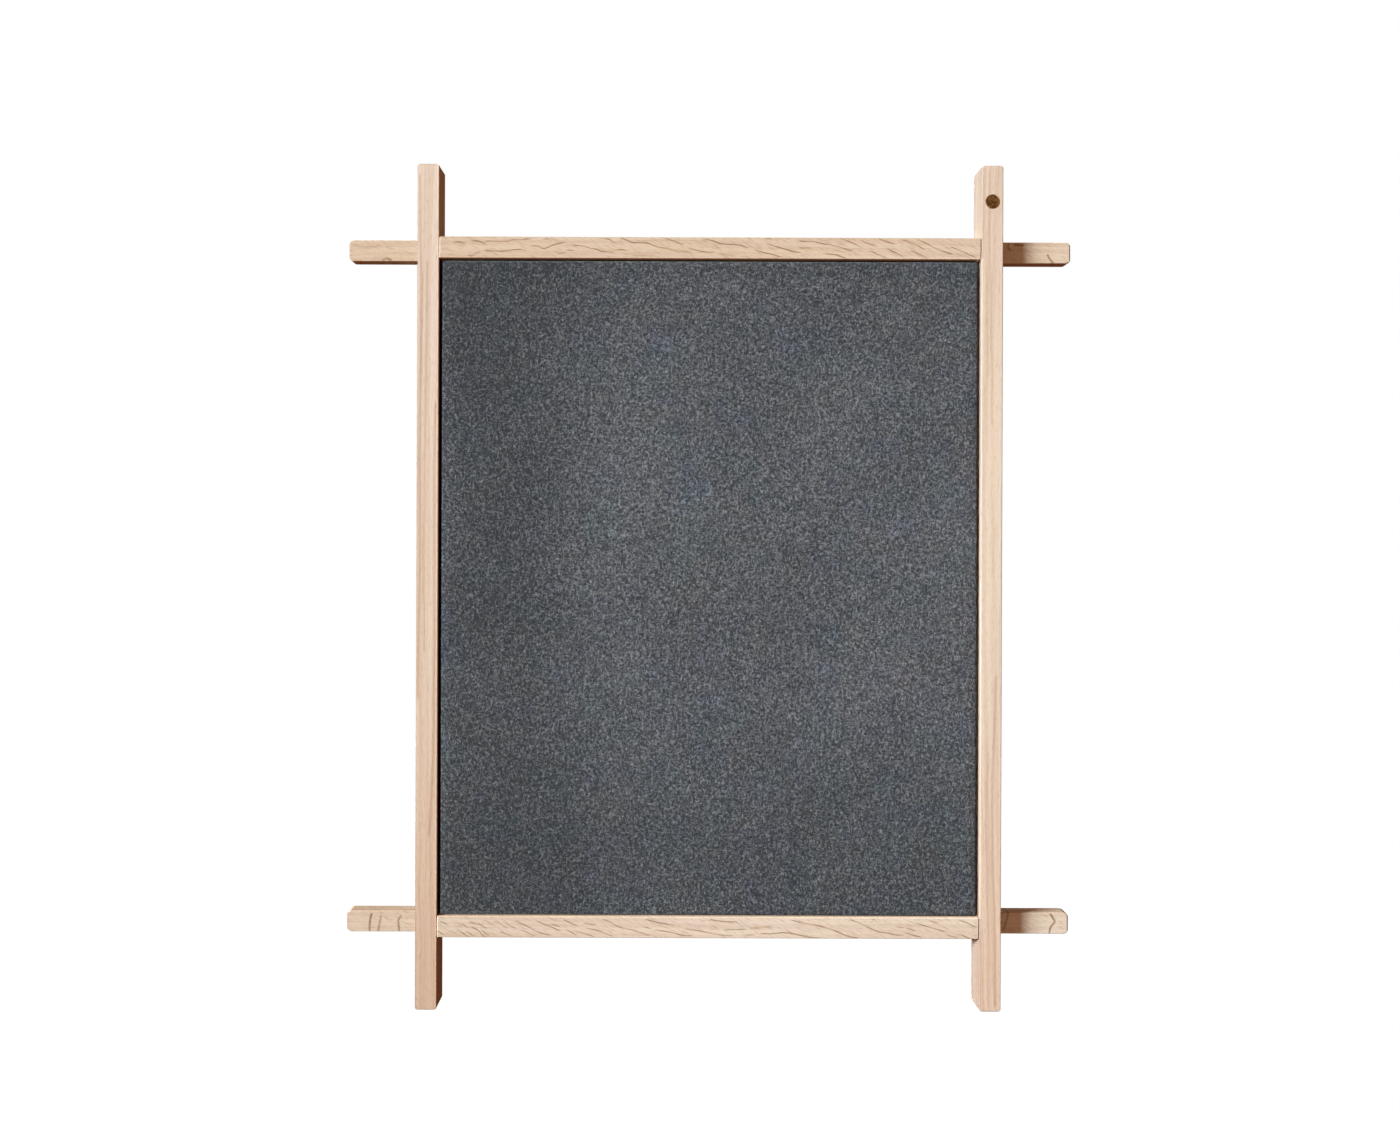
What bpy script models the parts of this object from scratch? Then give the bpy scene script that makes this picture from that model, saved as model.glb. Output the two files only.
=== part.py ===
"""Wall pin board: four oak bars joined by half laps round a felt-covered pin panel.

Two stiles run unbroken from end to end. The two rails are as deep as the stiles between them, and
only half as deep where they pass behind, so the stub ends of the rails stand back from the front.
The panel stands on the bottom rail, nearly flush with the bars, and a thin board closes the back.

Lengths are in metres. X points right, Y from the front of the board to the wall, and Z up. The origin
is the middle of the top rail's back face, where that face lies on the wall.
"""

import math

import bmesh
import bpy

# Frame bars
BAR_WIDTH = 0.020
BAR_DEPTH = 0.020
OPENING_WIDTH = 0.500
OPENING_HEIGHT = 0.606
STUB_LENGTH = 0.067
RAIL_LAP_SHARE = 0.5
ARRIS_EASE = 0.0010
END_FRONT_EASE = 0.0014
END_BACK_EASE = 0.0024

# Gap between two pieces that touch, and how far a cutter runs past the face that it opens
JOINT_GAP = 0.0003
CUT_OVERRUN = 0.002

# Felt panel and its core
PANEL_SIDE_GAP = 0.0021
PANEL_TOP_GAP = 0.0016
PANEL_RECESS = 0.0010
FELT_THICKNESS = 0.0012
FELT_HEM = 0.030
CORE_EDGE_RADIUS = 0.0010

# Backing board in its rabbet
BACKING_THICKNESS = 0.003
BACKING_RECESS = 0.0007
BACKING_LAP = 0.008

# Countersunk screws: the larger for the laps, the smaller for the backing board and the hangers
SCREW_HEAD_RIM = 0.0003
SCREW_TIP_LENGTH = 0.003
LAP_SCREW_RADIUS = 0.00175
LAP_SCREW_HEAD_RADIUS = 0.0035
LAP_SCREW_COVER = 0.004
LAP_SCREW_OFFSET = 0.0025
SMALL_SCREW_RADIUS = 0.0013
SMALL_SCREW_HEAD_RADIUS = 0.0026
BACKING_SCREW_BITE = 0.008
CORE_SCREW_BITE = 0.007
HANGER_SCREW_LENGTH = 0.012
DRIVE_DEPTH = 0.0010
DRIVE_SLOT_WIDTH = 0.0007
DRIVE_SPAN_SHARE = 0.56
STILE_SCREW_SHARES = (0.38, 0.0, -0.38)
RAIL_SCREW_SHARES = (-0.27, 0.27)
CORE_SCREW_SHARES = (-0.25, 0.25)

# Keyhole hangers in the upper stubs of the stiles
HANGER_SIDE_WOOD = 0.002
HANGER_LENGTH = 0.040
HANGER_THICKNESS = 0.0015
HANGER_CORNER_RADIUS = 0.003
HANGER_SCREW_INSET = 0.0045
KEYHOLE_ENTRY_RADIUS = 0.005
KEYHOLE_SLOT_RADIUS = 0.0025
KEYHOLE_TRAVEL = 0.010
KEYHOLE_ENTRY_DROP = 0.0035
POCKET_DEPTH = 0.006
POCKET_MARGIN = 0.0012

# Round badge in the front of the right stile
BADGE_RADIUS = 0.0064
BADGE_THICKNESS = 0.0013
BADGE_PROUD = 0.00025
BADGE_RIM_WIDTH = 0.0006
BADGE_DISH = 0.00015
BADGE_SHANK_RADIUS = 0.0015
BADGE_SHANK_LENGTH = 0.0055

# Felt pads that meet the wall behind the lower stubs
PAD_RADIUS = 0.006
PAD_THICKNESS = 0.0010
PAD_EASE = 0.0002
PAD_END_DISTANCE = 0.015

# Fineness of arcs, turned pieces and eased edges
EASE_SEGMENTS = 3
ARC_STEPS = 12
SCREW_STEPS = 16
DISC_STEPS = 48
WELD_DISTANCE = 0.00001
ROUND_PROFILE_SHARE = 0.5
PARALLEL_COSINE = 0.99
FLAT_DEGREES = 1.0
SHARP_DEGREES = 35.0

# Turn from one screw's cross to the next one's
SCREW_TURN_DEGREES = 31.0

# Sizes that follow
STILE_X = (OPENING_WIDTH + BAR_WIDTH) / 2
RAIL_SPAN = OPENING_HEIGHT + BAR_WIDTH
BOARD_WIDTH = OPENING_WIDTH + 2 * (BAR_WIDTH + STUB_LENGTH)
BOARD_HEIGHT = OPENING_HEIGHT + 2 * (BAR_WIDTH + STUB_LENGTH)
OPENING_MID_Z = -RAIL_SPAN / 2
STUB_MID_Z = (BAR_WIDTH + STUB_LENGTH) / 2
LAP_PLANE_Y = -BAR_DEPTH * RAIL_LAP_SHARE

PANEL_WIDTH = OPENING_WIDTH - 2 * PANEL_SIDE_GAP
PANEL_HEIGHT = OPENING_HEIGHT - PANEL_TOP_GAP - JOINT_GAP
PANEL_MID_Z = OPENING_MID_Z + (JOINT_GAP - PANEL_TOP_GAP) / 2
PANEL_FRONT_Y = -BAR_DEPTH + PANEL_RECESS
RABBET_Y = -(BACKING_THICKNESS + BACKING_RECESS + JOINT_GAP)
BACKING_BACK_Y = -BACKING_RECESS
WRAP_THICKNESS = FELT_THICKNESS + JOINT_GAP
CORE_FRONT_Y = PANEL_FRONT_Y + WRAP_THICKNESS
CORE_BACK_Y = RABBET_Y - WRAP_THICKNESS
CORE_THICKNESS = CORE_BACK_Y - CORE_FRONT_Y

HANGER_WIDTH = BAR_WIDTH - 2 * HANGER_SIDE_WOOD

# Collections for the board's pieces and for the shapes that cut them
board = bpy.data.collections.new("pin_board")
cutters = bpy.data.collections.new("pin_board_cutters")

# Colour, roughness and metallic value of each finish
FINISHES = {
    "oak": ((0.72, 0.52, 0.36, 1.0), 0.55, 0.0),
    "felt": ((0.085, 0.088, 0.098, 1.0), 0.95, 0.0),
    "softboard": ((0.42, 0.30, 0.18, 1.0), 0.95, 0.0),
    "hardboard": ((0.24, 0.14, 0.08, 1.0), 0.60, 0.0),
    "aged_brass": ((0.18, 0.10, 0.03, 1.0), 0.40, 1.0),
    "zinc": ((0.62, 0.62, 0.60, 1.0), 0.35, 1.0),
    "pad_felt": ((0.55, 0.52, 0.47, 1.0), 0.95, 0.0),
}


def clear_scene():
    """Take every object out of the file and link the two collections."""
    for thing in list(bpy.data.objects):
        bpy.data.objects.remove(thing, do_unlink=True)
    bpy.context.scene.collection.children.link(board)
    bpy.context.scene.collection.children.link(cutters)


def add_finish(piece, finish):
    """Give a piece its own Principled material in one of the board's finishes."""
    colour, roughness, metallic = FINISHES[finish]
    material = bpy.data.materials.new(piece.name + "_" + finish)
    material.use_nodes = True
    shader = material.node_tree.nodes["Principled BSDF"]
    shader.inputs["Base Color"].default_value = colour
    shader.inputs["Roughness"].default_value = roughness
    shader.inputs["Metallic"].default_value = metallic
    material.diffuse_color = colour
    piece.data.materials.clear()
    piece.data.materials.append(material)


def add_piece(name, mesh, finish, location, rotation=(0.0, 0.0, 0.0)):
    """Put a mesh on the board as a named piece."""
    piece = bpy.data.objects.new(name, mesh)
    piece.location = location
    piece.rotation_euler = rotation
    board.objects.link(piece)
    add_finish(piece, finish)
    return piece


def add_cutter(name, mesh, location, rotation=(0.0, 0.0, 0.0)):
    """Keep a mesh as a cutter, drawn as wire and left out of renders."""
    cutter = bpy.data.objects.new(name, mesh)
    cutter.location = location
    cutter.rotation_euler = rotation
    cutter.display_type = "WIRE"
    cutter.hide_render = True
    cutters.objects.link(cutter)
    return cutter


def cut(piece, cutter):
    """Subtract a cutter from a piece, at once with every other cutter that the piece has."""
    group_name = piece.name + "_cutters"
    if group_name not in bpy.data.collections:
        cutters.children.link(bpy.data.collections.new(group_name))
        boolean = piece.modifiers.new("cuts", "BOOLEAN")
        boolean.operation = "DIFFERENCE"
        boolean.solver = "EXACT"
        boolean.operand_type = "COLLECTION"
        boolean.collection = bpy.data.collections[group_name]
    bpy.data.collections[group_name].objects.link(cutter)


def drop_cutters(piece_name):
    """Remove the cutters of a piece whose cuts are made for good."""
    group = bpy.data.collections[piece_name + "_cutters"]
    for cutter in list(group.objects):
        bpy.data.objects.remove(cutter, do_unlink=True)
    bpy.data.collections.remove(group)


def finished_mesh(thing):
    """Return a thing's evaluated mesh and remove the thing."""
    graph = bpy.context.evaluated_depsgraph_get()
    mesh = bpy.data.meshes.new_from_object(thing.evaluated_get(graph))
    mesh.name = thing.name
    bpy.data.objects.remove(thing, do_unlink=True)
    return mesh


def weld(mesh):
    """Merge the points of a mesh that lie together and the flat faces that lie side by side."""
    shape = bmesh.new()
    shape.from_mesh(mesh)
    bmesh.ops.remove_doubles(shape, verts=shape.verts, dist=WELD_DISTANCE)
    flat_angle = math.radians(FLAT_DEGREES)
    bmesh.ops.dissolve_limit(shape, angle_limit=flat_angle, verts=shape.verts, edges=shape.edges)
    shape.to_mesh(mesh)
    shape.free()


def block_mesh(name, size):
    """A plain box with its middle at the mesh's origin."""
    shape = bmesh.new()
    bmesh.ops.create_cube(shape, size=1.0)
    bmesh.ops.scale(shape, vec=size, verts=shape.verts)
    mesh = bpy.data.meshes.new(name)
    shape.to_mesh(mesh)
    shape.free()
    return mesh


def outline_mesh(name, outlines, thickness):
    """Extrude flat closed outlines, the inner ones as holes, about the mesh's origin."""
    curve = bpy.data.curves.new(name, "CURVE")
    curve.dimensions = "2D"
    curve.fill_mode = "BOTH"
    curve.extrude = thickness / 2
    for outline in outlines:
        spline = curve.splines.new("POLY")
        spline.points.add(len(outline) - 1)
        for point, (x, y) in zip(spline.points, outline):
            point.co = (x, y, 0.0, 1.0)
        spline.use_cyclic_u = True
    drawing = bpy.data.objects.new(name, curve)
    board.objects.link(drawing)
    mesh = finished_mesh(drawing)
    bpy.data.curves.remove(curve)
    weld(mesh)
    return mesh


def turned_mesh(name, profile, steps):
    """Revolve a profile of (radius, height) points, top to bottom, about Z."""
    mesh = bpy.data.meshes.new(name + "_profile")
    points = [(radius, 0.0, height) for radius, height in profile]
    edges = [(index, index + 1) for index in range(len(points) - 1)]
    mesh.from_pydata(points, edges, [])
    lathe = bpy.data.objects.new(name, mesh)
    board.objects.link(lathe)
    screw = lathe.modifiers.new("turn", "SCREW")
    screw.steps = steps
    screw.render_steps = steps
    screw.use_merge_vertices = True
    screw.merge_threshold = WELD_DISTANCE
    return finished_mesh(lathe)


def arc(centre, radius, start, stop):
    """Points on an arc, from one angle to another in degrees, both ends included."""
    step = (stop - start) / ARC_STEPS
    angles = [math.radians(start + step * index) for index in range(ARC_STEPS + 1)]
    return [(centre[0] + radius * math.cos(a), centre[1] + radius * math.sin(a)) for a in angles]


def rounded_rectangle(width, height, radius):
    """Outline of a rectangle with round corners."""
    x = width / 2 - radius
    y = height / 2 - radius
    corners = ((x, y, 0), (-x, y, 90), (-x, -y, 180), (x, -y, 270))
    outline = []
    for corner_x, corner_y, start in corners:
        outline += arc((corner_x, corner_y), radius, start, start + 90)
    return outline


def keyhole(entry_y):
    """Outline of a keyhole: a round entry with a narrower slot running up from it."""
    half_angle = math.degrees(math.asin(KEYHOLE_SLOT_RADIUS / KEYHOLE_ENTRY_RADIUS))
    entry = arc((0.0, entry_y), KEYHOLE_ENTRY_RADIUS, 90 + half_angle, 450 - half_angle)
    slot_end = arc((0.0, entry_y + KEYHOLE_TRAVEL), KEYHOLE_SLOT_RADIUS, 0, 180)
    return entry + slot_end


def ease_edges(piece, width_of_edge):
    """Round a piece's edges, each by the width that the rule gives for its middle and direction."""
    mesh = piece.data
    widths = []
    for edge in mesh.edges:
        first, last = (mesh.vertices[index].co for index in edge.vertices)
        widths.append(width_of_edge((first + last) / 2, (last - first).normalized()))
    widest = max(widths)
    weights = mesh.attributes.new("bevel_weight_edge", "FLOAT", "EDGE")
    for index, width in enumerate(widths):
        weights.data[index].value = width / widest
    bevel = piece.modifiers.new("ease", "BEVEL")
    bevel.limit_method = "WEIGHT"
    bevel.width = widest
    bevel.segments = EASE_SEGMENTS
    bevel.profile = ROUND_PROFILE_SHARE


def runs_along(direction, axis):
    """True for a direction along X, Y or Z, given as 0, 1 or 2."""
    return abs(direction[axis]) > PARALLEL_COSINE


def stile_ease(middle, direction):
    """Ease of a stile's edges: light along it, heavier round its ends and most at their back."""
    if runs_along(direction, 2):
        return ARRIS_EASE
    if runs_along(direction, 0) and middle.y > 0:
        return END_BACK_EASE
    return END_FRONT_EASE


def rail_ease(middle, direction):
    """Ease of a rail's edges, like a stile's, with the lap's own edges and inner corners left sharp."""
    on_front = middle.y < (LAP_PLANE_Y - BAR_DEPTH) / 2
    on_back = middle.y > LAP_PLANE_Y / 2
    if abs(middle.x) > BOARD_WIDTH / 2 - END_BACK_EASE:
        return END_BACK_EASE if runs_along(direction, 2) and on_back else END_FRONT_EASE
    if runs_along(direction, 0):
        on_stub = abs(middle.x) > STILE_X
        return ARRIS_EASE if on_stub or on_front or on_back else 0.0
    return ARRIS_EASE if on_front else 0.0


def screw_profile(head_radius, shank_radius, length, clearance, overrun):
    """Profile of a countersunk screw from its head down, or of its hole where clearance is given."""
    head = head_radius + clearance
    shank = shank_radius + clearance
    end = length + clearance
    profile = [(0.0, overrun), (head, overrun), (head, -SCREW_HEAD_RIM)]
    profile += [(shank, -SCREW_HEAD_RIM - head_radius + shank_radius)]
    profile += [(shank, SCREW_TIP_LENGTH - end), (0.0, -end)]
    return profile


class ScrewKind:
    """One kind of countersunk screw, with the meshes of the screw and of its hole."""

    def __init__(self, name, head_radius, shank_radius, length):
        """Turn the screw, cut its cross drive and turn its hole."""
        profile = screw_profile(head_radius, shank_radius, length, 0.0, 0.0)
        body = bpy.data.objects.new(name, turned_mesh(name, profile, SCREW_STEPS))
        board.objects.link(body)
        slot_size = (2 * head_radius * DRIVE_SPAN_SHARE, DRIVE_SLOT_WIDTH, 2 * DRIVE_DEPTH)
        slot_mesh = block_mesh(name + "_drive", slot_size)
        for turn in (0.0, 90.0):
            turned = (0.0, 0.0, math.radians(turn))
            cut(body, add_cutter(name + "_drive", slot_mesh, (0.0, 0.0, 0.0), turned))
        self.mesh = finished_mesh(body)
        weld(self.mesh)
        drop_cutters(name)
        hole = screw_profile(head_radius, shank_radius, length, JOINT_GAP, CUT_OVERRUN)
        self.hole_mesh = turned_mesh(name + "_hole", hole, SCREW_STEPS)


def drive_screw(name, kind, place, pieces):
    """Put a screw in from behind, head flush and cross at an angle of its own, and drill the pieces."""
    cross_turn = math.radians(SCREW_TURN_DEGREES * len(board.objects))
    facing_wall = (math.radians(-90.0), cross_turn, 0.0)
    add_piece(name, kind.mesh.copy(), "zinc", place, facing_wall)
    hole = add_cutter("hole_" + name, kind.hole_mesh, place, facing_wall)
    for piece in pieces:
        cut(piece, hole)


def make_stile(name, side):
    """An upright, full depth from end to end, notched behind for the rails and rabbeted inside."""
    mesh = block_mesh(name, (BAR_WIDTH, BAR_DEPTH, BOARD_HEIGHT))
    stile = add_piece(name, mesh, "oak", (side * STILE_X, -BAR_DEPTH / 2, OPENING_MID_Z))
    ease_edges(stile, stile_ease)
    notch_depth = JOINT_GAP / 2 - LAP_PLANE_Y
    notch_size = (BAR_WIDTH + 2 * CUT_OVERRUN, notch_depth + CUT_OVERRUN, BAR_WIDTH + 2 * JOINT_GAP)
    notch_mesh = block_mesh("notch", notch_size)
    for level, z in (("top", 0.0), ("bottom", -RAIL_SPAN)):
        place = (side * STILE_X, (CUT_OVERRUN - notch_depth) / 2, z)
        cut(stile, add_cutter(name + "_notch_" + level, notch_mesh, place))
    rabbet_width = BACKING_LAP + CUT_OVERRUN
    rabbet_height = OPENING_HEIGHT + 2 * BACKING_LAP
    rabbet_mesh = block_mesh("stile_rabbet", (rabbet_width, CUT_OVERRUN - RABBET_Y, rabbet_height))
    rabbet_x = OPENING_WIDTH / 2 + (BACKING_LAP - CUT_OVERRUN) / 2
    rabbet_place = (side * rabbet_x, (CUT_OVERRUN + RABBET_Y) / 2, OPENING_MID_Z)
    cut(stile, add_cutter(name + "_rabbet", rabbet_mesh, rabbet_place))
    return stile


def rail_mesh(name):
    """A half-depth bar whose front is drawn forward, in two steps, to full depth between the shoulders."""
    tongue = -LAP_PLANE_Y - JOINT_GAP / 2
    shoulder = OPENING_WIDTH / 2 - JOINT_GAP
    shape = bmesh.new()
    bmesh.ops.create_cube(shape, size=1.0)
    bmesh.ops.scale(shape, vec=(BOARD_WIDTH, tongue, BAR_WIDTH), verts=shape.verts)
    bmesh.ops.translate(shape, vec=(0.0, -tongue / 2, 0.0), verts=shape.verts)
    for x in (-STILE_X, -shoulder, shoulder, STILE_X):
        whole = shape.verts[:] + shape.edges[:] + shape.faces[:]
        bmesh.ops.bisect_plane(shape, geom=whole, plane_co=(x, 0.0, 0.0), plane_no=(1.0, 0.0, 0.0))
    middles = [face for face in shape.faces if abs(face.calc_center_median().x) < STUB_LENGTH]
    front = min(middles, key=lambda face: face.calc_center_median().y)
    for _ in range(2):
        drawn = bmesh.ops.extrude_face_region(shape, geom=[front])["geom"]
        bmesh.ops.delete(shape, geom=[front], context="FACES_ONLY")
        front = next(part for part in drawn if isinstance(part, bmesh.types.BMFace))
        bmesh.ops.translate(shape, vec=(0.0, (tongue - BAR_DEPTH) / 2, 0.0), verts=front.verts)
    mesh = bpy.data.meshes.new(name)
    shape.to_mesh(mesh)
    shape.free()
    return mesh


def make_rail(name, z, inner_side):
    """A crossbar, full depth between the stiles, half depth behind and beyond them, rabbeted inside."""
    rail = add_piece(name, rail_mesh(name), "oak", (0.0, 0.0, z))
    ease_edges(rail, rail_ease)
    rabbet_width = OPENING_WIDTH + 2 * BACKING_LAP
    rabbet_size = (rabbet_width, CUT_OVERRUN - RABBET_Y, BACKING_LAP + CUT_OVERRUN)
    inner_face = z + inner_side * BAR_WIDTH / 2
    rabbet_z = inner_face + inner_side * (CUT_OVERRUN - BACKING_LAP) / 2
    rabbet_place = (0.0, (CUT_OVERRUN + RABBET_Y) / 2, rabbet_z)
    cut(rail, add_cutter(name + "_rabbet", block_mesh("rail_rabbet", rabbet_size), rabbet_place))
    return rail


def make_panel():
    """The soft core, and the felt wrapped round it and turned in behind as a hem."""
    core_width = PANEL_WIDTH - 2 * WRAP_THICKNESS
    core_height = PANEL_HEIGHT - 2 * WRAP_THICKNESS
    core_mesh = block_mesh("pin_core", (core_width, CORE_THICKNESS, core_height))
    core_y = (CORE_FRONT_Y + CORE_BACK_Y) / 2
    core = add_piece("pin_core", core_mesh, "softboard", (0.0, core_y, PANEL_MID_Z))
    bevel = core.modifiers.new("ease", "BEVEL")
    bevel.width = CORE_EDGE_RADIUS
    bevel.segments = EASE_SEGMENTS

    panel_depth = CORE_THICKNESS + 2 * WRAP_THICKNESS
    corner_radius = CORE_EDGE_RADIUS + WRAP_THICKNESS
    shape = bmesh.new()
    bmesh.ops.create_cube(shape, size=1.0)
    bmesh.ops.scale(shape, vec=(PANEL_WIDTH, panel_depth, PANEL_HEIGHT), verts=shape.verts)
    bmesh.ops.bevel(
        shape,
        geom=shape.edges[:],
        offset=corner_radius,
        segments=EASE_SEGMENTS + 1,
        profile=ROUND_PROFILE_SHARE,
        affect="EDGES",
        material=-1,
    )
    back = max(shape.faces, key=lambda face: face.calc_center_median().y)
    bmesh.ops.inset_region(shape, faces=[back], thickness=FELT_HEM - corner_radius, use_even_offset=True)
    bmesh.ops.delete(shape, geom=[back], context="FACES")
    mesh = bpy.data.meshes.new("fabric_cover")
    shape.to_mesh(mesh)
    shape.free()
    cover = add_piece("fabric_cover", mesh, "felt", (0.0, core_y, PANEL_MID_Z))
    wall = cover.modifiers.new("felt", "SOLIDIFY")
    wall.thickness = FELT_THICKNESS
    wall.offset = -1.0
    wall.use_even_offset = True
    return core


def make_backing():
    """The thin board that closes the back."""
    width = OPENING_WIDTH + 2 * (BACKING_LAP - JOINT_GAP)
    height = OPENING_HEIGHT + 2 * (BACKING_LAP - JOINT_GAP)
    mesh = block_mesh("backing_board", (width, BACKING_THICKNESS, height))
    place = (0.0, BACKING_BACK_Y - BACKING_THICKNESS / 2, OPENING_MID_Z)
    return add_piece("backing_board", mesh, "hardboard", place)


def screw_backing(backing, core, left, right, top, bottom):
    """Screw the backing board to all four bars and to the core."""
    head_y = BACKING_BACK_Y
    bar_length = BACKING_THICKNESS + JOINT_GAP + BACKING_SCREW_BITE
    bar_screw = ScrewKind("backing_screw", SMALL_SCREW_HEAD_RADIUS, SMALL_SCREW_RADIUS, bar_length)
    ledge = BACKING_LAP / 2
    places = []
    for stile, side in ((left, -1), (right, 1)):
        for share in STILE_SCREW_SHARES:
            x = side * (OPENING_WIDTH / 2 + ledge)
            places.append((stile, (x, head_y, OPENING_MID_Z + share * OPENING_HEIGHT)))
    for rail, side in ((top, 1), (bottom, -1)):
        for share in RAIL_SCREW_SHARES:
            z = OPENING_MID_Z + side * (OPENING_HEIGHT / 2 + ledge)
            places.append((rail, (share * OPENING_WIDTH, head_y, z)))
    for number, (bar, place) in enumerate(places, start=1):
        drive_screw(f"backing_screw_{number:02d}", bar_screw, place, (backing, bar))

    core_length = BACKING_BACK_Y - CORE_BACK_Y + CORE_SCREW_BITE
    core_screw = ScrewKind("core_screw", SMALL_SCREW_HEAD_RADIUS, SMALL_SCREW_RADIUS, core_length)
    number = 0
    for height_share in CORE_SCREW_SHARES:
        for width_share in CORE_SCREW_SHARES:
            number += 1
            z = OPENING_MID_Z + height_share * OPENING_HEIGHT
            place = (width_share * OPENING_WIDTH, head_y, z)
            drive_screw(f"core_screw_{number:02d}", core_screw, place, (backing, core))


def screw_laps(left, right, top, bottom):
    """Pin each crossing from behind with one screw, set off its middle away from the rabbets."""
    length = BAR_DEPTH - LAP_SCREW_COVER
    kind = ScrewKind("lap_screw", LAP_SCREW_HEAD_RADIUS, LAP_SCREW_RADIUS, length)
    for level, rail, z, up in (("top", top, 0.0, 1), ("bottom", bottom, -RAIL_SPAN, -1)):
        for side_name, stile, side in (("left", left, -1), ("right", right, 1)):
            x = side * (STILE_X + LAP_SCREW_OFFSET)
            place = (x, 0.0, z + up * LAP_SCREW_OFFSET)
            drive_screw(f"lap_screw_{level}_{side_name}", kind, place, (rail, stile))


def make_hanger(side_name, side, stile, kind):
    """A keyhole plate let in flush behind a stile's upper stub, over a pocket for a screw's head."""
    upright = (math.radians(90.0), 0.0, 0.0)
    entry_y = -KEYHOLE_ENTRY_DROP
    name = side_name + "_hanger"
    x = side * STILE_X
    plate_outline = rounded_rectangle(HANGER_WIDTH, HANGER_LENGTH, HANGER_CORNER_RADIUS)
    plate_mesh = outline_mesh(name, [plate_outline, keyhole(entry_y)], HANGER_THICKNESS)
    plate = add_piece(name, plate_mesh, "zinc", (x, -HANGER_THICKNESS / 2, STUB_MID_Z), upright)

    seat_depth = HANGER_THICKNESS + JOINT_GAP
    seat_outline = rounded_rectangle(
        HANGER_WIDTH + 2 * JOINT_GAP, HANGER_LENGTH + 2 * JOINT_GAP, HANGER_CORNER_RADIUS + JOINT_GAP
    )
    seat_mesh = outline_mesh(name + "_seat", [seat_outline], seat_depth + CUT_OVERRUN)
    seat_place = (x, (CUT_OVERRUN - seat_depth) / 2, STUB_MID_Z)
    cut(stile, add_cutter(name + "_seat", seat_mesh, seat_place, upright))

    pocket_radius = KEYHOLE_ENTRY_RADIUS + POCKET_MARGIN
    pocket_low = arc((0.0, entry_y), pocket_radius, 180, 360)
    pocket_high = arc((0.0, entry_y + KEYHOLE_TRAVEL), pocket_radius, 0, 180)
    pocket_cut = seat_depth + POCKET_DEPTH
    pocket_mesh = outline_mesh(name + "_pocket", [pocket_low + pocket_high], pocket_cut + CUT_OVERRUN)
    pocket_place = (x, (CUT_OVERRUN - pocket_cut) / 2, STUB_MID_Z)
    cut(stile, add_cutter(name + "_pocket", pocket_mesh, pocket_place, upright))

    screw_rise = HANGER_LENGTH / 2 - HANGER_SCREW_INSET
    for level, rise in (("upper", screw_rise), ("lower", -screw_rise)):
        place = (x, 0.0, STUB_MID_Z + rise)
        drive_screw(f"{name}_screw_{level}", kind, place, (plate, stile))


def make_hangers(left, right):
    """One keyhole hanger behind each stile."""
    kind = ScrewKind("hanger_screw", SMALL_SCREW_HEAD_RADIUS, SMALL_SCREW_RADIUS, HANGER_SCREW_LENGTH)
    make_hanger("left", -1, left, kind)
    make_hanger("right", 1, right, kind)


def make_badge(stile):
    """A bare round badge, pressed into a counterbore in the front of the right stile."""
    facing_front = (math.radians(90.0), 0.0, 0.0)
    inner = BADGE_RADIUS - BADGE_RIM_WIDTH
    rim = BADGE_RIM_WIDTH / 2
    profile = [(0.0, -BADGE_DISH), (inner, -BADGE_DISH), (BADGE_RADIUS - rim, 0.0)]
    profile += [(BADGE_RADIUS, -BADGE_PROUD), (BADGE_RADIUS, -BADGE_THICKNESS)]
    profile += [(BADGE_SHANK_RADIUS, -BADGE_THICKNESS)]
    shank_end = -BADGE_THICKNESS - BADGE_SHANK_LENGTH
    profile += [(BADGE_SHANK_RADIUS, shank_end), (0.0, shank_end)]
    place = (STILE_X, -BAR_DEPTH - BADGE_PROUD, STUB_MID_Z)
    mesh = turned_mesh("badge_stud", profile, DISC_STEPS)
    add_piece("badge_stud", mesh, "aged_brass", place, facing_front)

    bore = BADGE_RADIUS + JOINT_GAP
    bore_floor = -BADGE_THICKNESS - JOINT_GAP
    shank = BADGE_SHANK_RADIUS + JOINT_GAP
    hole = [(0.0, CUT_OVERRUN), (bore, CUT_OVERRUN), (bore, bore_floor), (shank, bore_floor)]
    hole += [(shank, shank_end - JOINT_GAP), (0.0, shank_end - JOINT_GAP)]
    hole_mesh = turned_mesh("badge_hole", hole, DISC_STEPS)
    cut(stile, add_cutter("badge_hole", hole_mesh, place, facing_front))


def make_pads():
    """Two felt pads behind the stiles' lower ends, so that the board hangs clear of the wall there."""
    facing_wall = (math.radians(-90.0), 0.0, 0.0)
    top = PAD_THICKNESS
    profile = [(0.0, top), (PAD_RADIUS - PAD_EASE, top), (PAD_RADIUS, top - PAD_EASE)]
    profile += [(PAD_RADIUS, 0.0), (0.0, 0.0)]
    z = OPENING_MID_Z - BOARD_HEIGHT / 2 + PAD_END_DISTANCE
    for side_name, side in (("left", -1), ("right", 1)):
        name = side_name + "_wall_pad"
        mesh = turned_mesh(name, profile, DISC_STEPS)
        add_piece(name, mesh, "pad_felt", (side * STILE_X, JOINT_GAP, z), facing_wall)


def shade_round_pieces():
    """Shade the eased and turned surfaces smooth, with flat faces kept crisp."""
    for piece in board.objects:
        piece.data.shade_smooth()
        piece.data.set_sharp_from_angle(angle=math.radians(SHARP_DEGREES))
        normals = piece.modifiers.new("flat faces", "WEIGHTED_NORMAL")
        normals.keep_sharp = True


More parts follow.
